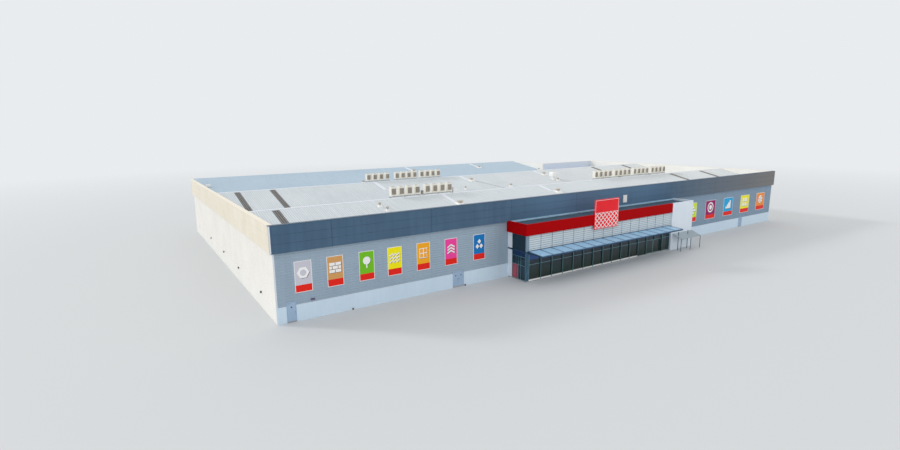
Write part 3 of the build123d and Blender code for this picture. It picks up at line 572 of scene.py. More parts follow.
# Each wall of the hall: where it starts and ends on plan, and the way it faces
WALLS = {
    "front": ((0, 0), (HALL_LENGTH, 0), FRONT),
    "left": ((0, HALL_DEPTH), (0, 0), LEFT),
    "right": ((HALL_LENGTH, 0), (HALL_LENGTH, NOTCH_Y), RIGHT),
    "notch_back": ((HALL_LENGTH, NOTCH_Y), (NOTCH_X, NOTCH_Y), BACK),
    "notch_side": ((NOTCH_X, NOTCH_Y), (NOTCH_X, HALL_DEPTH), RIGHT),
    "back": ((NOTCH_X, HALL_DEPTH), (0, HALL_DEPTH), BACK),
}
RIB_PITCH = 33.0
RIB_WIDTH = 14.0
RIB_HEIGHT = 2.4


def wall_ribs(front_finish, side_finish):
    """Level ribs of the wall sheets between the plinth and the fascia."""
    doors = [(low.x, high.x, high.z) for low, high in solids("door_heads")]
    rows = {"front": [], "side": []}
    for name, (first, last, out) in WALLS.items():
        level = PLINTH_TOP + RIB_PITCH
        while level < FASCIA_LOW - RIB_WIDTH:
            stretches = [(Vector((*first, level)), Vector((*last, level)))]
            if name == "front":
                gaps = [(BOX_LEFT, BOX_RIGHT)]
                gaps += [(x0, x1) for x0, x1, head in doors if level < head + RIB_WIDTH]
                edges = [0] + [x for gap in sorted(gaps) for x in gap] + [HALL_LENGTH]
                stretches = [(Vector((x0, 0, level)), Vector((x1, 0, level)))
                             for x0, x1 in zip(edges[::2], edges[1::2])]
            kept = rows["front" if name == "front" else "side"]
            kept += [bar(a, b, out, RIB_WIDTH, RIB_HEIGHT) for a, b in stretches]
            level += RIB_PITCH
    bars("front_wall_ribs", rows["front"], "grey_cladding", front_finish, 0.6)
    bars("side_wall_ribs", rows["side"], "pale_cladding", side_finish, 0.6)


def joints_between(boxes):
    """The middle of each gap between neighbours in a row."""
    return [(a[1].x + b[0].x) / 2 for a, b in zip(boxes, boxes[1:])]


def wall_joints(finish):
    """Narrow cover strips where two lengths of the front wall's sheets meet."""
    lines = [x for x in joints_between(solids("front_fascia")) if not BOX_LEFT < x < BOX_RIGHT]
    bars("front_wall_joints", [bar((x, 0, PLINTH_TOP), (x, 0, FASCIA_LOW), FRONT, 5.0, 3.0) for x in lines],
         "grey_cladding", finish)


PANEL_ROWS = 3
PANEL_JOINT = 1.6
PANEL_END = 0.0
PANEL_LIFT = 1.4


def facing(low, high):
    """The way a thin upright slab of the cladding faces."""
    if high.x - low.x < high.y - low.y:
        return LEFT if low.x < 0 else RIGHT
    return FRONT if low.y < 0 else BACK


def fascia_panels(front_finish, side_finish):
    """Flat cladding panels on the proud band, in level rows with dark joints at their ends."""
    for name, node, slot, finish in (("front_fascia_panels", "front_fascia", "slate_fascia", front_finish),
                                     ("side_fascia_panels", "other_fascias", "side_fascia", side_finish)):
        rows = []
        for low, high in solids(node):
            out = facing(low, high)
            height = (high.z - low.z) / PANEL_ROWS
            outer = low if out in (FRONT, LEFT) else high
            for number in range(PANEL_ROWS):
                level = low.z + (number + 0.5) * height
                if out in (FRONT, BACK):
                    ends = [Vector((x, outer.y, level)) for x in (low.x + PANEL_END, high.x - PANEL_END)]
                else:
                    ends = [Vector((outer.x, y, level)) for y in (low.y + PANEL_END, high.y - PANEL_END)]
                rows.append(bar(*ends, out, height - PANEL_JOINT, PANEL_LIFT))
        bars(name, rows, slot, finish, 0.985)


def trims(white, slate):
    """Corner angles, the drip over the plinth and the drip under the fascia."""
    out_band = -span("front_fascia")[0].y + PANEL_LIFT
    corner_width = 14.0
    rows = [
        bar((-out_band + corner_width / 2, -out_band, FASCIA_LOW),
            (-out_band + corner_width / 2, -out_band, PARAPET), FRONT, corner_width, 1.0),
        bar((-out_band, -out_band + corner_width / 2, FASCIA_LOW),
            (-out_band, -out_band + corner_width / 2, PARAPET), LEFT, corner_width, 1.0),
        bar((corner_width / 2, 0, PLINTH_TOP), (corner_width / 2, 0, FASCIA_LOW), FRONT, corner_width, 3.2),
        bar((0, corner_width / 2, PLINTH_TOP), (0, corner_width / 2, FASCIA_LOW), LEFT, corner_width, 3.2),
        bar((HALL_LENGTH - corner_width / 2, 0, PLINTH_TOP),
            (HALL_LENGTH - corner_width / 2, 0, FASCIA_LOW), FRONT, corner_width, 3.2),
    ]
    drip = 5.0
    for low, high in solids("front_plinth"):
        rows.append(bar((low.x, low.y, high.z - drip / 2), (high.x, low.y, high.z - drip / 2), FRONT, drip, 2.0))
    bars("corner_and_plinth_trims", rows, "white_plinth", white)
    low_edge = [bar((low.x, low.y, low.z + drip / 2), (high.x, low.y, low.z + drip / 2), FRONT, drip, 2.4)
                for low, high in solids("front_fascia")]
    bars("fascia_drip", low_edge, "slate_fascia", slate)


DECKS = sorted(solids("roof_decks"), key=lambda box: (round(box[0].y), box[0].x))
DECK_THICKNESS = 10.0
RIDGE_CAP = 26.0
MINOR_PITCH = 100.0 / 3
LAP_EVERY = 3
ROOF_RIB = 8.0
ROOF_RIB_HEIGHT = 2.0
LAP_RIB = 10.0
LAP_HEIGHT = 3.5
LIGHT_RIBS = 3


def deck_line(number):
    """Front edge, its height, back edge and its height of one roof deck's upper face."""
    low, high = DECKS[number]
    rising = number in (0, 2, 4, 5)
    ends = (low.z + DECK_THICKNESS, high.z)
    return (low.y, ends[0 if rising else 1], high.y, ends[1 if rising else 0])


def on_roof(y, number=None):
    """Height of the roof's upper face at y."""
    if number is None:
        number = next(i for i in range(5) if DECKS[i][0].y - 1 <= y <= DECKS[i][1].y + 1)
    y0, z0, y1, z1 = deck_line(number)
    return z0 + (z1 - z0) * (y - y0) / (y1 - y0)


def clear_runs(start_y, end_y, blocks):
    """What is left of a stretch after the blocked stretches are taken out."""
    runs, here = [], start_y
    for low, high in sorted(blocks):
        if low > here:
            runs.append((here, min(low, end_y)))
        here = max(here, high)
    if here < end_y:
        runs.append((here, end_y))
    return [(a, b) for a, b in runs if b - a > 5.0]


def roof_ribs(sheet_finish, light_finish):
    """Ribs of the roof sheets, with a bigger one where two sheets lap, and on the roof lights."""
    lights = solids("roof_lights")
    strips = [box for box in solids("roof_flashings") if box[1].x - box[0].x < 1000]
    curbs = solids("vent_curbs")
    sheet_rows, light_rows = [], []
    for number, (low, high) in enumerate(DECKS):
        y0, z0, y1, z1 = deck_line(number)
        up = Vector((0, z0 - z1, y1 - y0)).normalized()
        first = y0 + (RIDGE_CAP if number in (1, 3) else 0)
        last = y1 - (RIDGE_CAP if number in (0, 2) else 0)
        count = int((high.x - low.x) / MINOR_PITCH)
        for step in range(1, count):
            x = low.x + step * MINOR_PITCH
            is_lap = step % LAP_EVERY == 0
            width, height = (LAP_RIB, LAP_HEIGHT) if is_lap else (ROOF_RIB, ROOF_RIB_HEIGHT)
            blocks = [(b[0].y, b[1].y) for b in strips + curbs + lights if b[0].x - width < x < b[1].x + width]
            for a, b in clear_runs(first, last, blocks):
                sheet_rows.append(bar((x, a, on_roof(a, number)), (x, b, on_roof(b, number)), up, width, height))
        rise = 4.0
        for light_low, light_high in lights:
            if low.y < light_low.y < high.y and low.x < light_low.x < high.x:
                for step in range(LIGHT_RIBS):
                    x = light_low.x + (step + 0.5) * (light_high.x - light_low.x) / LIGHT_RIBS
                    a, b = light_low.y, light_high.y
                    light_rows.append(bar((x, a, on_roof(a, number) + rise), (x, b, on_roof(b, number) + rise),
                                          up, ROOF_RIB, ROOF_RIB_HEIGHT))
    bars("roof_sheet_ribs", sheet_rows, "roof_sheet", sheet_finish, 0.55)
    bars("roof_light_ribs", light_rows, "roof_light_sheet", light_finish, 0.55)


def box_faces(shape, low, high, skip=()):
    """The faces of a box, except those named in skip."""
    x, y, z = zip(low, high)
    corner = [[[shape.verts.new((x[i], y[j], z[k])) for k in (0, 1)] for j in (0, 1)] for i in (0, 1)]
    faces = {
        "left": (corner[0][0][0], corner[0][0][1], corner[0][1][1], corner[0][1][0]),
        "right": (corner[1][0][0], corner[1][1][0], corner[1][1][1], corner[1][0][1]),
        "front": (corner[0][0][0], corner[1][0][0], corner[1][0][1], corner[0][0][1]),
        "back": (corner[0][1][0], corner[0][1][1], corner[1][1][1], corner[1][1][0]),
        "bottom": (corner[0][0][0], corner[0][1][0], corner[1][1][0], corner[1][0][0]),
        "top": (corner[0][0][1], corner[1][0][1], corner[1][1][1], corner[0][1][1]),
    }
    for side, verts in faces.items():
        if side not in skip:
            shape.faces.new(verts)
    return corner


UNIT_MARGIN = 9.0
UNIT_FOOT = 8.0
UNIT_SKIRT = 26.0
UNIT_HEAD = 30.0
FAN_RADIUS = 33.0
FAN_DEPTH = 6.0
FAN_BLADES = 4
COIL_DEPTH = 5.0
FAN_SIDES = 24


def unit_case(width, depth, height):
    """Steel case of an outdoor unit: open coil face at the front and a round fan well in the top."""
    shape = bmesh.new()
    low, high = (0, 0, UNIT_FOOT), (width, depth, height)
    corner = box_faces(shape, low, high, skip=("front", "top"))
    m = UNIT_MARGIN
    sill = UNIT_FOOT + UNIT_SKIRT
    head = height - UNIT_HEAD
    hole = [(m, sill), (width - m, sill), (width - m, head), (m, head)]
    outer = [corner[0][0][0], corner[1][0][0], corner[1][0][1], corner[0][0][1]]
    rim = [shape.verts.new((x, 0, z)) for x, z in hole]
    sunk = [shape.verts.new((x, COIL_DEPTH, z)) for x, z in hole]
    for i in range(4):
        j = (i + 1) % 4
        shape.faces.new((outer[i], outer[j], rim[j], rim[i]))
        shape.faces.new((rim[i], rim[j], sunk[j], sunk[i]))
    shape.faces.new(sunk)
    top = [corner[0][0][1], corner[1][0][1], corner[1][1][1], corner[0][1][1]]
    turns = [2 * math.pi * (i + 0.5) / FAN_SIDES - 0.75 * math.pi for i in range(FAN_SIDES)]
    circle = [(width / 2 + FAN_RADIUS * math.cos(a), depth / 2 + FAN_RADIUS * math.sin(a)) for a in turns]
    lip = [shape.verts.new((x, y, height)) for x, y in circle]
    well = [shape.verts.new((x, y, height - FAN_DEPTH)) for x, y in circle]
    quarter = FAN_SIDES // 4
    for i in range(FAN_SIDES):
        j = (i + 1) % FAN_SIDES
        shape.faces.new((lip[i], lip[j], well[j], well[i]))
        shape.faces.new((top[i // quarter], lip[j], lip[i]) if (i + 1) % quarter
                        else (top[i // quarter], top[(i // quarter + 1) % 4], lip[j], lip[i]))
    shape.faces.new(well)
    for x in (m, width - 2 * m):
        box_faces(shape, (x, 0, 0), (x + m, depth, UNIT_FOOT), skip=("top",))
    bmesh.ops.recalc_face_normals(shape, faces=shape.faces)
    made = bpy.data.meshes.new("unit_case")
    shape.to_mesh(made)
    shape.free()
    made.transform(Matrix.Scale(MM, 4))
    return made


def unit_places(offset=(0, 0, 0)):
    """A point at each outdoor unit's lowest corner, moved by an offset."""
    mesh = bpy.data.meshes.new("unit_places")
    mesh.from_pydata([at(low + Vector(offset)) for low, _ in solids("air_units")], [], [])
    return mesh


def copies(name, shape, places, slot, finish):
    """A copy of one mesh on each place, as one piece."""
    sample = bpy.data.objects.new("sample", shape)
    scene.collection.objects.link(sample)
    mesh = grown(COPIES, places, {"Shape": sample, "Finish": finish})
    bpy.data.objects.remove(sample)
    return piece(name, mesh, slot)


def air_units(white, fins, wire):
    """Outdoor units in rows: cases, coils, and the wire guards over the coils and fans."""
    low, high = solids("air_units")[0]
    width, depth, height = high - low
    case = copies("air_unit_cases", unit_case(width, depth, height), unit_places(), "unit_white", white)
    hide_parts("air_units")
    coil_low, coil_high = UNIT_FOOT + UNIT_SKIRT, height - UNIT_HEAD
    coils, wires = [], []
    for low, _ in solids("air_units"):
        centre = low.x + width / 2
        coils.append(bar((centre, low.y + COIL_DEPTH, low.z + coil_low),
                         (centre, low.y + COIL_DEPTH, low.z + coil_high), FRONT, width - 2 * UNIT_MARGIN, 1.5))
        hub = low + Vector((width / 2, depth / 2, height - FAN_DEPTH))
        for blade in range(FAN_BLADES):
            angle = 2 * math.pi * (blade + 0.3) / FAN_BLADES
            tip = Vector((math.cos(angle), math.sin(angle), 0)) * (FAN_RADIUS - 3)
            coils.append(bar(hub, hub + tip, UP, 17.0, 1.0 + 0.2 * blade))
        for step in range(1, 9):
            level = low.z + coil_low + step * (coil_high - coil_low) / 9
            wires.append(bar((low.x + UNIT_MARGIN, low.y + 1.5, level),
                             (low.x + width - UNIT_MARGIN, low.y + 1.5, level), FRONT, 0.8, 0.8))
        for step in range(1, 4):
            x = low.x + UNIT_MARGIN + step * (width - 2 * UNIT_MARGIN) / 4
            wires.append(bar((x, low.y + 1.5, low.z + coil_low), (x, low.y + 1.5, low.z + coil_high),
                             FRONT, 1.6, 1.2))
    bars("air_unit_coils", coils, "vent_metal", fins)
    bars("air_unit_coil_guards", wires, "unit_white", wire)
    places = unit_places((width / 2, depth / 2, height - 1.0))
    mesh = grown(GUARD, places, {"Rings": 5, "Ring gap": FAN_RADIUS * MM / 5, "Spokes": 12,
                                 "Wire": 0.45 * MM, "Finish": wire})
    piece("air_unit_fan_guards", mesh, "unit_white")


VENT_VANES = 24
# Height over the curb and radius, as a share of the widest one, of each bend of a vent head
HEAD_BENDS = ((8.0, 0.6), (17.0, 1.0), (33.0, 1.0), (42.0, 0.48))


def strip(shape, stations, width, thickness):
    """A thin bent strip through stations, each a place and the way that it faces outwards."""
    rings = []
    for place, out in stations:
        side = UP.cross(out) * (width / 2)
        corners = (place - side, place + side, place + side + out * thickness, place - side + out * thickness)
        rings.append([shape.verts.new(at(corner)) for corner in corners])
    for a, b in zip(rings, rings[1:]):
        for i in range(4):
            j = (i + 1) % 4
            shape.faces.new((a[i], a[j], b[j], b[i]))
    shape.faces.new(rings[0][::-1])
    shape.faces.new(rings[-1])


def vent_vanes(metal):
    """Bent vanes round each wind-driven vent head, from its throat to its cap."""
    shape = bmesh.new()
    for low, high in solids("vent_cowls"):
        middle = (low + high) / 2
        widest = (high.x - low.x) / 2
        for number in range(VENT_VANES):
            stations = []
            for bend, (height, share) in enumerate(HEAD_BENDS):
                angle = 2 * math.pi * (number + 0.35 * bend) / VENT_VANES
                out = Vector((math.cos(angle), math.sin(angle), 0))
                stations.append((Vector((middle.x, middle.y, low.z + height)) + out * widest * share, out))
            strip(shape, stations, 0.045 * widest, 1.5)
    bmesh.ops.recalc_face_normals(shape, faces=shape.faces)
    mesh = bpy.data.meshes.new("vent_vanes")
    shape.to_mesh(mesh)
    shape.free()
    piece("vent_vanes", mesh, "vent_metal", metal)


def cabinet(foot, size, out, lip=2.0):
    """Rows for a small steel cabinet that stands against a face: its body and its narrower lid."""
    width, height, depth = size
    low, high = Vector(foot), Vector(foot) + UP * height
    return [bar(low, high, out, width, depth * 0.7),
            bar(low + UP * lip, high - UP * lip, out, width - 2 * lip, depth)]


def roof_cabinets(white, dark):
    """Isolator on legs between two rows of outdoor units, and the pipe riser beside the second row."""
    line = span("unit_platforms")[0].y
    groups = solids("unit_platforms")
    foot = on_roof(line + 24.0) - 2.0
    deck_height = groups[0][1].z
    first_end, second_end = groups[0][1].x, groups[1][1].x
    middle = (first_end + groups[1][0].x) / 2
    legs = [bar((middle + side, line + 24.0, foot), (middle + side, line + 24.0, deck_height), FRONT, 5.0, 5.0)
            for side in (-15.0, 15.0)]
    box = cabinet((middle, line + 24.0, deck_height), (40.0, 62.0, 24.0), FRONT)
    pipe = [bar((second_end + 27.0, line + 24.0, foot), (second_end + 27.0, line + 24.0, deck_height + 70.0),
                FRONT, 10.0, 10.0)]
    bars("roof_isolator", legs + box + pipe, "canopy_steel", dark)
    riser = cabinet((second_end + 82.0, line + 24.0, foot), (32.0, deck_height + 40.0 - foot, 30.0), FRONT)
    hatch_y = 6248.0
    hatch = cabinet((217.0, hatch_y, on_roof(hatch_y) - 4.0), (90.0, 54.0, 60.0), FRONT)
    bars("pipe_riser_and_hatch", riser + hatch, "unit_white", white)


CONDUIT = ((5350.0, 3498.0), (5890.0, 2631.0))
MASTS = ((7176.0, -530.0), (7472.0, -530.0))
MAST_TOP = 352.0


def conduit_and_masts(steel, dark):
    """Cable conduit that runs down the middle roof, and the two masts that carry the shelter."""
    y0, z0, y1, z1 = deck_line(2)
    up = Vector((0, z0 - z1, y1 - y0)).normalized()
    ends = [(x, y, on_roof(y, 2)) for x, y in CONDUIT]
    bars("roof_conduit", [bar(*ends, up, 9.0, 5.0)], "gutter_steel", steel)
    bars("shelter_masts", [bar((x, y, 0), (x, y, MAST_TOP), FRONT, 9.0, 9.0) for x, y in MASTS],
         "shelter_steel", dark, 0.8)


# Small boxes on the walls: place, width, height and depth
LEFT_BOXES = [(0.0, y, 203.0) for y in (735.0, 2171.0, 3428.0, 4832.0)]
LEFT_BOX = (25.0, 26.0, 18.0)
METER_BOX = ((436.0, 0.0, 231.0), (50.0, 22.0, 14.0))
FOOT_BOXES = [(x, -5.0, 0.0) for x in (946.0, 2702.0)]
FOOT_BOX = (20.0, 20.0, 16.0)


def wall_boxes(dark, plum, brown):
    """Small cabinets on the left wall and the front wall, and at the foot of the front wall."""
    bars("left_wall_boxes", [row for place in LEFT_BOXES for row in cabinet(place, LEFT_BOX, LEFT)],
         "canopy_steel", dark)
    bars("meter_box", cabinet(METER_BOX[0], METER_BOX[1], FRONT), "canopy_steel", plum)
    bars("foot_boxes", [row for place in FOOT_BOXES for row in cabinet(place, FOOT_BOX, FRONT)],
         "canopy_steel", brown)


def cap_laps(finish):
    """Lap joints along the two ridge caps."""
    rows = []
    for low, high in solids("roof_flashings"):
        if high.x - low.x > 1000:
            middle = (low.y + high.y) / 2
            x = low.x + 300.0
            while x < high.x:
                for y0, y1 in ((low.y, middle), (middle, high.y)):
                    z0, z1 = (low.z + 3.0, high.z) if y1 == middle else (high.z, low.z + 3.0)
                    rows.append(bar((x, y0, z0), (x, y1, z1), UP, 4.0, 0.8))
                x += 300.0
    bars("ridge_cap_laps", rows, "roof_trim", finish)


FIN_WIDTH = 10.0
FIN_DEPTH = 13.0


def storefront_caps(frame_finish):
    """Deep fins on the mullions of the glazed front."""
    panes = [(low, high) for low, high in solids("entrance_glass") if high.y - low.y < 20]
    lines = sorted({round(low.x) for low, _ in panes} | {round(high.x) for _, high in panes})
    joints = [(a + b) / 2 for a, b in zip(lines, lines[1:]) if b - a < 20]
    heads = sorted({round(high.z) for _, high in panes})
    sill_low, sill_high = span("storefront_sill")
    door_low, door_high = span("entrance_left_leaf")[0].x, span("entrance_right_leaf")[1].x
    rows = []
    for x in joints:
        foot = sill_low.z if x < sill_high.x else span("entrance_frames")[0].z
        if door_low + 12 < x < door_high - 12:
            foot = heads[0]
        rows.append(bar((x, STORE_FRONT, foot), (x, STORE_FRONT, heads[-1] + 4), FRONT, FIN_WIDTH, FIN_DEPTH))
    bars("storefront_caps", rows, "frame_aluminium", frame_finish, 0.9)


def canopy_caps(dark):
    """Pressure plates over the joints of the canopy glass, and its front glazing bead."""
    low, high = span("canopy_glass")
    panes = solids("canopy_glass")
    fall = Vector((0, high.y - low.y, high.z - low.z - 3.0)).normalized()
    up = RIGHT.cross(fall)
    joints = [panes[0][0].x + 3] + joints_between(panes) + [panes[-1][1].x - 3]
    rows = [bar((x, low.y + 1.0, low.z + 3.0), (x, high.y, high.z), up, 12.0, 3.0) for x in joints]
    rows.append(bar((low.x, low.y + 5, low.z + 3.0), (high.x, low.y + 5, low.z + 3.0), up, 9.0, 2.4))
    rows.append(bar((low.x, high.y - 6, high.z), (high.x, high.y - 6, high.z), up, 10.0, 6.0))
    bars("canopy_caps", rows, "canopy_steel", dark)


PLANKS = 11
PLANK_GAP = 7.0


def facade_planks(white, dark):
    """Level planks on the panels over the canopy, and the dark cover strips at their joints."""
    panels = solids("white_panels")
    rows = []
    for low, high in panels:
        pitch = (high.z - low.z) / PLANKS
        for number in range(PLANKS):
            level = low.z + (number + 0.5) * pitch
            rows.append(bar((low.x, low.y, level), (high.x, low.y, level), FRONT, pitch - PLANK_GAP, 2.4))
    bars("white_panel_planks", rows, "panel_white", white, 0.9)
    low, high = panels[0]
    bars("white_panel_joints", [bar((x, low.y, low.z), (x, low.y, high.z), FRONT, 6.0, 3.0)
                                for x in joints_between(panels)], "canopy_steel", dark)


def band_trims(red, pale, felt):
    """Top and bottom folds of the red band, and the upstand and laps on the low deck behind it."""
    low, high = span("red_band")
    fold = 6.0
    rows = [bar((low.x, low.y, level), (high.x, low.y, level), FRONT, fold, 1.6)
            for level in (low.z + fold / 2, high.z - fold / 2)]
    rows += [bar((low.x, low.y, level), (low.x, -31.0, level), LEFT, fold, 1.6)
             for level in (low.z + fold / 2, high.z - fold / 2)]
    bars("red_band_folds", rows, "band_red", red)
    deck_low, deck_high = span("entrance_deck")
    top = deck_high.z
    edge = -32.0
    upstand = 30.0
    level = top + upstand / 2
    bars("deck_upstand", [bar((deck_low.x, edge, level), (deck_high.x, edge, level), FRONT, upstand, 14.0)],
         "roof_trim", pale, 0.7)
    laps = []
    x = deck_low.x + 100.0
    while x < deck_high.x:
        laps.append(bar((x, deck_low.y, top), (x, edge - 14, top), UP, 8.0, 0.8))
        x += 100.0
    bars("deck_felt_laps", laps, "deck_grey", felt)


INK = {"white": "fbfbfa", "dark": "3d3f45", "red": "f01d0c"}
POSTER_BORDER = 7.0
RED_SHARE = 0.22


def disc(x, y, radius, start_turn=0.0, end_turn=1.0, sides=36):
    """Outline of a disc, or of a slice of one between two shares of a turn."""
    count = max(3, round(sides * (end_turn - start_turn)))
    whole = end_turn - start_turn == 1.0
    turns = [2 * math.pi * (start_turn + (end_turn - start_turn) * i / count)
             for i in range(count if whole else count + 1)]
    rim = [(x + radius * math.cos(a), y + radius * math.sin(a)) for a in turns]
    return rim if whole else [(x, y)] + rim


def slab(x0, y0, x1, y1):
    """Outline of an upright rectangle."""
    return [(x0, y0), (x1, y0), (x1, y1), (x0, y1)]


def wave_band(level, thickness):
    """Outline of a band that follows three waves."""
    xs = [-1 + i / 12 for i in range(25)]
    lower = [(x, level + 0.16 * math.sin(3 * math.pi * x)) for x in xs]
    return lower + [(x, y + thickness) for x, y in reversed(lower)]


def nut():
    return [("white", disc(0, 0, 1, sides=6)), ("ground", disc(0, 0, 0.5))]


def bricks():
    rows = ((-1, -0.05, 0.05, 1), (-1, -0.55, -0.45, 0.45, 0.55, 1), (-1, -0.05, 0.05, 1))
    return [("white", slab(row[i], -0.85 + 0.6 * level, row[i + 1], -0.35 + 0.6 * level))
            for level, row in enumerate(rows) for i in range(0, len(row), 2)]


def tree():
    return [("white", slab(-0.12, -1, 0.12, -0.1)), ("white", disc(0, 0.3, 0.68))]


def window():
    panes = [("ground", slab(x, y, x + 0.62, y + 0.72)) for x in (-0.7, 0.08) for y in (-0.8, 0.08)]
    return [("white", slab(-0.82, -0.92, 0.82, 0.92))] + panes


def chevrons():
    return [("white", [(-0.8, y), (0, y + 0.45), (0.8, y), (0.8, y + 0.3), (0, y + 0.75), (-0.8, y + 0.3)])
            for y in (-1.0, -0.45, 0.1)]


def waves():
    return [("white", wave_band(y, 0.26)) for y in (-0.75, -0.15, 0.45)]


def diamonds():
    return [("white", [(x - 0.42, y), (x, y - 0.5), (x + 0.42, y), (x, y + 0.5)])
            for x, y in ((-0.46, -0.45), (0.46, -0.45), (0, 0.5))]


def rings():
    return [("white", disc(0, 0, 1)), ("ground", disc(0, 0, 0.74)), ("white", disc(0, 0, 0.46))]


def steps():
    return [("white", [(-0.9, -0.8), (0.9, -0.8), (0.9, 0.8), (0.45, 0.8), (0.45, 0.4), (0, 0.4),
                       (0, 0), (-0.45, 0), (-0.45, -0.4), (-0.9, -0.4)])]


def quarters():
    return [("white", disc(x, y, 0.85, turn, turn + 0.25))
            for x, y, turn in ((0.05, 0.05, 0), (-0.9, 0.05, 0), (0.05, -0.9, 0), (-0.9, -0.9, 0))]


def pinwheel():
    return [("white", [(0, 0), (0.9 * math.cos(a), 0.9 * math.sin(a)),
                       (0.9 * math.cos(a + 0.8), 0.9 * math.sin(a + 0.8))])
            for a in (i * math.pi / 3 for i in range(6))]


def scales():
    return [("white", disc(x, y, 0.42, 0, 0.5)) for y, xs in ((-0.8, (-0.45, 0.45)), (-0.25, (-0.9, 0, 0.9)),
                                                             (0.3, (-0.45, 0.45))) for x in xs]


POSTERS = (
    ("cfcfdb", nut), ("dba262", bricks), ("77c61c", tree), ("fff300", waves), ("ffb01a", window),
    ("fb45a4", chevrons), ("047bc6", diamonds),
    ("d8ee34", scales), ("a0046a", rings), ("18abe4", steps), ("fdf51e", quarters), ("fc9536", pinwheel),
)


def plate(shape, inks, outline, to_place, level, colour):
    """A thin printed plate: its outline on the board, its level above it and its ink."""
    thickness = 0.25
    front = [shape.verts.new(to_place(u, v, level + thickness)) for u, v in outline]
    rear = [shape.verts.new(to_place(u, v, level)) for u, v in outline]
    count = len(outline)
    made = [shape.faces.new(front), shape.faces.new(rear[::-1])]
    made += [shape.faces.new((front[i], rear[i], rear[(i + 1) % count], front[(i + 1) % count]))
             for i in range(count)]
    for face in made:
        for loop in face.loops:
            loop[inks] = linear(colour)


def poster_prints(vinyl):
    """Printed faces of the twelve boards: a coloured field, one plain motif and a red foot."""
    shape = bmesh.new()
    inks = shape.loops.layers.float_color.new("ink")
    for (low, high), (ground, motif) in zip(solids("poster_boards"), POSTERS):
        def to_place(u, v, level):
            return at((low.x + u, low.y - level, low.z + v))

        width, height = high.x - low.x, high.z - low.z
        m = POSTER_BORDER
        foot = m + RED_SHARE * height
        plate(shape, inks, slab(m, m, width - m, height - m), to_place, 0.0, ground)
        plate(shape, inks, slab(m, m, width - m, foot), to_place, 0.3, INK["red"])
        unit = 0.36 * min(width, height - foot)
        centre = (width / 2, (foot + height) / 2)
        drop = 0.07
        colours = {"ground": ground, "white": INK["white"]}
        for number, (ink, outline) in enumerate(motif()):
            level = 0.3 + 0.3 * number
            if ink == "white":
                shade = [(centre[0] + (u + drop) * unit, centre[1] + (v - drop) * unit) for u, v in outline]
                plate(shape, inks, shade, to_place, 0.3 * 0.5, INK["dark"])
            face = [(centre[0] + u * unit, centre[1] + v * unit) for u, v in outline]
            plate(shape, inks, face, to_place, level, colours[ink])
    bmesh.ops.recalc_face_normals(shape, faces=shape.faces)
    mesh = bpy.data.meshes.new("poster_prints")
    shape.to_mesh(mesh)
    shape.free()
    piece("poster_prints", mesh, "poster_print", vinyl)


SIGN_COLUMNS = 6
SIGN_ROWS = 3
TRELLIS_SHARE = 0.55


def sign_pattern(white):
    """A rim round the red board over the entrance, and a diamond trellis on its lower part."""
    low, high = solids("sign_board")[0]
    rim = 5.0
    inset = 14.0
    x0, x1 = low.x + inset, high.x - inset
    z0, z1 = low.z + inset, high.z - inset
    rows = [bar((x0, low.y, z), (x1, low.y, z), FRONT, rim, 1.2) for z in (z0, z1)]
    rows += [bar((x, low.y, z0), (x, low.y, z1), FRONT, rim, 1.2) for x in (x0, x1)]
    rows.append(bar((x0, low.y, z0 + TRELLIS_SHARE * (z1 - z0)), (x1, low.y, z0 + TRELLIS_SHARE * (z1 - z0)),
                    FRONT, rim, 1.2))
    across, up = (x1 - x0) / SIGN_COLUMNS, TRELLIS_SHARE * (z1 - z0) / SIGN_ROWS
    for start_column in range(-SIGN_ROWS + 1, SIGN_COLUMNS):
        levels = (max(0, -start_column), min(SIGN_ROWS, SIGN_COLUMNS - start_column))
        for way, height in ((1, 1.6), (-1, 2.0)):
            ends = [Vector((across * (start_column + level), 0, z0 + up * level)) for level in levels]
            origin = Vector((x0 if way == 1 else x1, low.y, 0))
            ends = [origin + Vector((way * end.x, 0, end.z)) for end in ends]
            rows.append(bar(*ends, FRONT, 12.0, height))
    bars("sign_pattern", rows, "white_plinth", white)


def door_fittings(steel, dark):
    """Closer, lock rosette and small dark pane on each escape door leaf."""
    bodies = {"door_1_leaf": "door_1", "door_2_left_leaf": "door_2_left",
              "door_2_right_leaf": "door_2_right", "door_3_leaf": "door_3"}
    for node, body in bodies.items():
        low, high = span(node)
        face = high.y - 5.0
        hinge_left = node != "door_2_right_leaf"
        x0 = low.x + (2.0 if hinge_left else 0.5)
        x1 = high.x - (0.5 if hinge_left else 2.0)
        middle = (x0 + x1) / 2
        closer = x0 + 26 if hinge_left else x1 - 26
        closer_rows = [bar((closer - 11, face, high.z - 9), (closer + 11, face, high.z - 9), FRONT, 6.0, 3.5)]
        bars(body + "_closer", closer_rows, "door_grey", steel, body=body)
        pane, lock = high.z - 57.0, low.z + 108.0
        lock_x = x1 - 10.0 if hinge_left else x0 + 10.0
        rows = [bar((middle, face, pane - 9), (middle, face, pane + 9), FRONT, 18.0, 0.8),
                bar((lock_x, face, lock - 4), (lock_x, face, lock + 4), FRONT, 8.0, 1.0)]
        bars(body + "_pane_and_lock", rows, "canopy_steel", dark, 0.85, body)


# Lit studio: soft sky all round and one broad lamp from the left, behind the building
SKY_LEVEL = 0.95
LAMP_STRENGTH = 1.0
LAMP_FROM = Vector((-0.65, 0.62, 0.42))
LAMP_SPREAD = 8.0
BACKDROP = "e9ecef"
FLOOR_COLOUR = "cfd2d4"


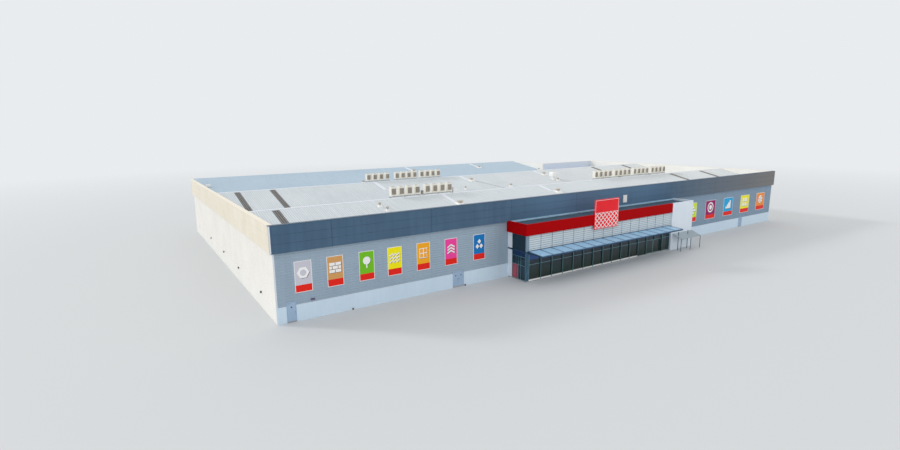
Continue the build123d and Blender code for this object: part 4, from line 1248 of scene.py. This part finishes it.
def stage():
    """A wide pale floor that fades into the backdrop."""
    mesh = bpy.data.meshes.new("studio_floor")
    reach = 600.0
    mesh.from_pydata([(-reach, -reach, -0.0003), (reach, -reach, -0.0003), (reach, reach, -0.0003),
                      (-reach, reach, -0.0003)], [], [(0, 1, 2, 3)])
    floor = bpy.data.objects.new("studio_floor", mesh)
    scene.collection.objects.link(floor)
    made, tree, shader, place = start("studio_floor_paint", 0.8)
    shader.inputs["Base Color"].default_value = linear(FLOOR_COLOUR)
    far = add(tree, "ShaderNodeVectorMath", {0: place}, operation="LENGTH")
    fade = add(tree, "ShaderNodeMapRange", {0: far.outputs["Value"], 1: 9.0, 2: 26.0})
    seen = add(tree, "ShaderNodeLightPath")
    share = add(tree, "ShaderNodeMath", {0: fade.outputs[0], 1: seen.outputs["Is Camera Ray"]}, operation="MULTIPLY")
    glow = add(tree, "ShaderNodeEmission", {"Color": linear(BACKDROP), "Strength": 1.0})
    both = add(tree, "ShaderNodeMixShader", {0: share.outputs[0], 1: shader.outputs[0], 2: glow.outputs[0]})
    tree.links.new(both.outputs[0], tree.nodes["Material Output"].inputs["Surface"])
    mesh.materials.append(made)


def light():
    """The sky, which shows as the pale backdrop to the camera, and the broad lamp."""
    world = bpy.data.worlds.new("studio")
    world.use_nodes = True
    scene.world = world
    tree = world.node_tree
    tree.nodes.clear()
    seen = add(tree, "ShaderNodeLightPath")
    direct = add(tree, "ShaderNodeMath", {0: seen.outputs["Is Camera Ray"], 1: seen.outputs["Is Transmission Ray"]},
                 operation="MAXIMUM")
    shown = add(tree, "ShaderNodeMath", {0: direct.outputs[0], 1: seen.outputs["Is Glossy Ray"]},
                operation="MAXIMUM")
    sky = add(tree, "ShaderNodeBackground", {"Color": linear("ffffff"), "Strength": SKY_LEVEL})
    backdrop = add(tree, "ShaderNodeBackground", {"Color": linear(BACKDROP), "Strength": 1.0})
    both = add(tree, "ShaderNodeMixShader", {0: shown.outputs[0], 1: sky.outputs[0], 2: backdrop.outputs[0]})
    add(tree, "ShaderNodeOutputWorld", {"Surface": both.outputs[0]})
    lamp = bpy.data.lights.new("broad_lamp", "SUN")
    lamp.energy = LAMP_STRENGTH
    lamp.angle = math.radians(LAMP_SPREAD)
    holder = bpy.data.objects.new("broad_lamp", lamp)
    holder.rotation_euler = LAMP_FROM.to_track_quat("Z", "Y").to_euler()
    scene.collection.objects.link(holder)


# The photograph's viewpoint: place in metres of the model, and turns in radians
EYE = Vector((-7.2384, -9.3156, 2.25))
YAW, PITCH, ROLL = 0.58, 0.187, -0.011
FOCAL_PIXELS, WIDTH_PIXELS, SENSOR = 500.928, 900, 36.0


def camera():
    """The camera at the photograph's viewing angle."""
    ahead = Vector((math.sin(YAW), math.cos(YAW), 0))
    side = Vector((math.cos(YAW), -math.sin(YAW), 0))
    forward = math.cos(PITCH) * ahead - math.sin(PITCH) * UP
    top = math.sin(PITCH) * ahead + math.cos(PITCH) * UP
    right = math.cos(ROLL) * side + math.sin(ROLL) * top
    above = -math.sin(ROLL) * side + math.cos(ROLL) * top
    data = bpy.data.cameras.new("view")
    data.sensor_width = SENSOR
    data.lens = SENSOR * FOCAL_PIXELS / WIDTH_PIXELS
    data.clip_end = 2000.0
    holder = bpy.data.objects.new("view", data)
    turned = Matrix((right, above, -forward)).transposed().to_4x4()
    holder.matrix_world = Matrix.Translation(EYE) @ turned
    scene.collection.objects.link(holder)
    scene.camera = holder


scene.view_settings.view_transform = "Standard"
camera()
light()
stage()

# The front's finishes are bluer than their own colours: painted sky shade. The finishes of the other sides are
# lighter and warmer: painted sunlight.
grey_sheet = front_cladding()
# Side wall sheet: the grey wall sheet in a painted sunlit look, lifted lighter still on the right half, which faces
# away from the lamp: painted light.
sunlit_wall_sheet = tinted(coated_steel("coil_coated_wall_sheet_painted_sunlit", ("e6e2da", "eeebe4", "f4f1ec"), sheet=1400.0),
                    beyond("x", HALL_LENGTH / 2), "a0a09c", "SCREEN")
# Front plinth: white sheet blued by painted sky shade; the side plinth below is the same sheet without it.
shaded_plinth = coated_steel("coil_coated_plinth_painted_sky_shade", ("cbdff0", "d1e5f5", "d7eaf9"), sheet=1420.0)
side_plinth = coated_steel("coil_coated_plinth_white", ("eae8e2", "f1efea", "f5f3ef"), sheet=1400.0)
slate_panel = slate_cladding()
# Side fascia panels: the slate panel in a painted sunlit look, cream.
sunlit_panel = coated_steel("coil_coated_panel_painted_sunlit", ("e5dcc8", "ece3d0", "f1eadb"), 1400.0, 60.0)
roof_white = tinted(roof_steel("coil_coated_roof_sheet", ("bac5cb", "c2ccd1", "c9d2d6")),
                    faded("x", 4500.0, HALL_LENGTH, 0.6), "c4c7c1")
# The rear bay is multiplied bluer: painted shade with the blue of the sky.
tinted(roof_white, beyond("y", DECKS[4][0].y - 30.0), "dcebf8", "MULTIPLY")
# Ribs on the rear bay take the same painted sky shade.
rib_white = tinted(roof_steel("coil_coated_roof_rib", ("d5d9dc", "dcdfe2", "e1e4e6")),
                   beyond("y", DECKS[4][0].y - 30.0), "b9cbda")
trim_white = roof_steel("coated_flashing_white", ("dce1ea", "e2e7ef", "e7ebf2"))
light_sheet = roof_light_sheet()
light_rib = painted("glass_fibre_rib_tan", ("91857a", "a09488", "aea398"), 0.5, 60.0)
zinc = galvanised_steel()
aluminium = anodised_aluminium()
unit_paint = painted("enamelled_unit_case", ("e6e3d8", "efece2", "f4f2ea"), 0.4, 60.0)
wire_paint = painted("plastic_coated_wire", ("b7b0a5", "c4beb3", "cfcabf"), 0.5, 20.0)
vent_metal = painted("weathered_vent_head", ("b3aa9c", "c8c0b5", "dad4cb"), 0.5, 25.0)
box_paint = painted("isolator_enamel", ("86807a", "928c86", "9e9892"), 0.5, 20.0, 0.25)
dark_paint = painted("dark_enamel", ("4d4e50", "58595b", "646567"), 0.5, 20.0, 0.25)
plum_paint = painted("plum_enamel", ("5f4f66", "6e5c76", "7a6882"), 0.5, 20.0, 0.25)
brown_paint = painted("brown_enamel", ("5c4638", "6b5445", "786151"), 0.5, 20.0, 0.25)
# Escape doors: their blue tint is painted sky shade.
door_paint = painted("escape_door_paint", ("98b3ce", "a1bbd6", "a9c2dc"), 0.5)
steel_paint = painted("canopy_steel_paint", ("223d5a", "2a4664", "34506f"), 0.5, gloss=0.25)
red_paint = painted("red_band_enamel", ("ab0004", "b20005", "b90007"), 0.6, 400.0, 0.05)
sign_paint = painted("red_sign_enamel", ("ee1f2b", "f6232f", "fb2a36"), 0.5, 200.0, 0.2)
panel_white = coated_steel("coil_coated_facade_white", ("d0dbe0", "d8e2e6", "dfe8eb"), sheet=233.0)
primer = painted("frame_primer_grey", ("a5a8aa", "b1b4b6", "bbbec0"), 0.6)
post_paint = corner_post_paint()
felt = roofing_felt()
clear_glass = storefront_glass()
# Canopy glass: light blue, partly its own tint and partly painted sky light.
canopy_glass = float_glass("tinted_laminated_glass", ("98cbf0", "a0d2f6"), 0.2, 0.05)
board_white = painted("board_edge_white", ("f0f0ee", "f6f6f4", "fafaf8"), 0.4)
# Deck upstand flashing: pale, blued by painted sky light.
sky_lit_flashing = painted("flashing_painted_sky_blue", ("9cc3dc", "a9cfe6", "b5d9ee"), 0.45)
sheet_clear = polycarbonate()

paint_node(floated_concrete(), "floor_main", "floor_extensions")
paint_node(grey_sheet, "front_wall", "front_lintels")
paint_node(sunlit_wall_sheet, "side_walls")
paint_node(back_cladding(), "back_walls")
paint_node(shaded_plinth, "front_plinth")
paint_node(side_plinth, "other_plinths")
# Joint backings: a dark gasket colour that also stands for the shade in the joints, as painted shade.
paint_node(shadow_gap("gasket_and_joint_shade_slate", "2a3c4e"), "front_fascia")
paint_node(shadow_gap("gasket_and_joint_shade_cream", "c9bfac"), "other_fascias")
paint_node(front_coping(), "parapet_copings")
paint_node(roof_white, "roof_decks")
paint_node(trim_white, "roof_flashings")
paint_node(zinc, "roof_gutters", "unit_platforms")
paint_node(light_sheet, "roof_lights")
paint_node(primer, "steel_columns", "roof_rafters")
paint_node(unit_paint, "air_units")
paint_node(board_white, "vent_curbs", "service_box", "storefront_sill")
paint_node(vent_metal, "vent_cowls")
paint_node(door_paint, "door_jambs", "door_heads", "door_1_leaf", "door_2_left_leaf", "door_2_right_leaf",
           "door_3_leaf")
paint_node(red_paint, "red_band")
# The plank gaps show a dark backing: gasket colour and painted shade in the gaps.
paint_node(shadow_gap("gasket_and_joint_shade_facade", "97a3ab"), "white_panels")
paint_node(render_coat(), "block_front_wall", "entrance_side_walls")
paint_node(post_paint, "corner_post")
paint_node(felt, "entrance_deck")
paint_node(aluminium, "entrance_frames", "entrance_door_gear", "entrance_left_leaf", "entrance_right_leaf")
paint_node(clear_glass, "entrance_glass", "entrance_left_pane", "entrance_right_pane")
paint_node(canopy_glass, "canopy_glass")
paint_node(steel_paint, "canopy_brackets", "canopy_beams")
paint_node(side_panel_paint(), "side_panels")
paint_node(board_white, "poster_boards")
paint_node(sign_paint, "sign_board")
paint_node(sheet_clear, "shelter_roof")
paint_node(steel_paint, "shelter_posts")

wall_ribs(grey_sheet, sunlit_wall_sheet)
wall_joints(grey_sheet)
fascia_panels(slate_panel, sunlit_panel)
trims(trim_white, slate_panel)
roof_ribs(rib_white, light_rib)
cap_laps(trim_white)
air_units(unit_paint, coil_fins(), wire_paint)
vent_vanes(vent_metal)
roof_cabinets(board_white, box_paint)
conduit_and_masts(zinc, steel_paint)
wall_boxes(dark_paint, plum_paint, brown_paint)
storefront_caps(aluminium)
canopy_caps(steel_paint)
facade_planks(panel_white, steel_paint)
band_trims(red_paint, sky_lit_flashing, felt)
poster_prints(printed_vinyl())
sign_pattern(board_white)
door_fittings(zinc, dark_paint)
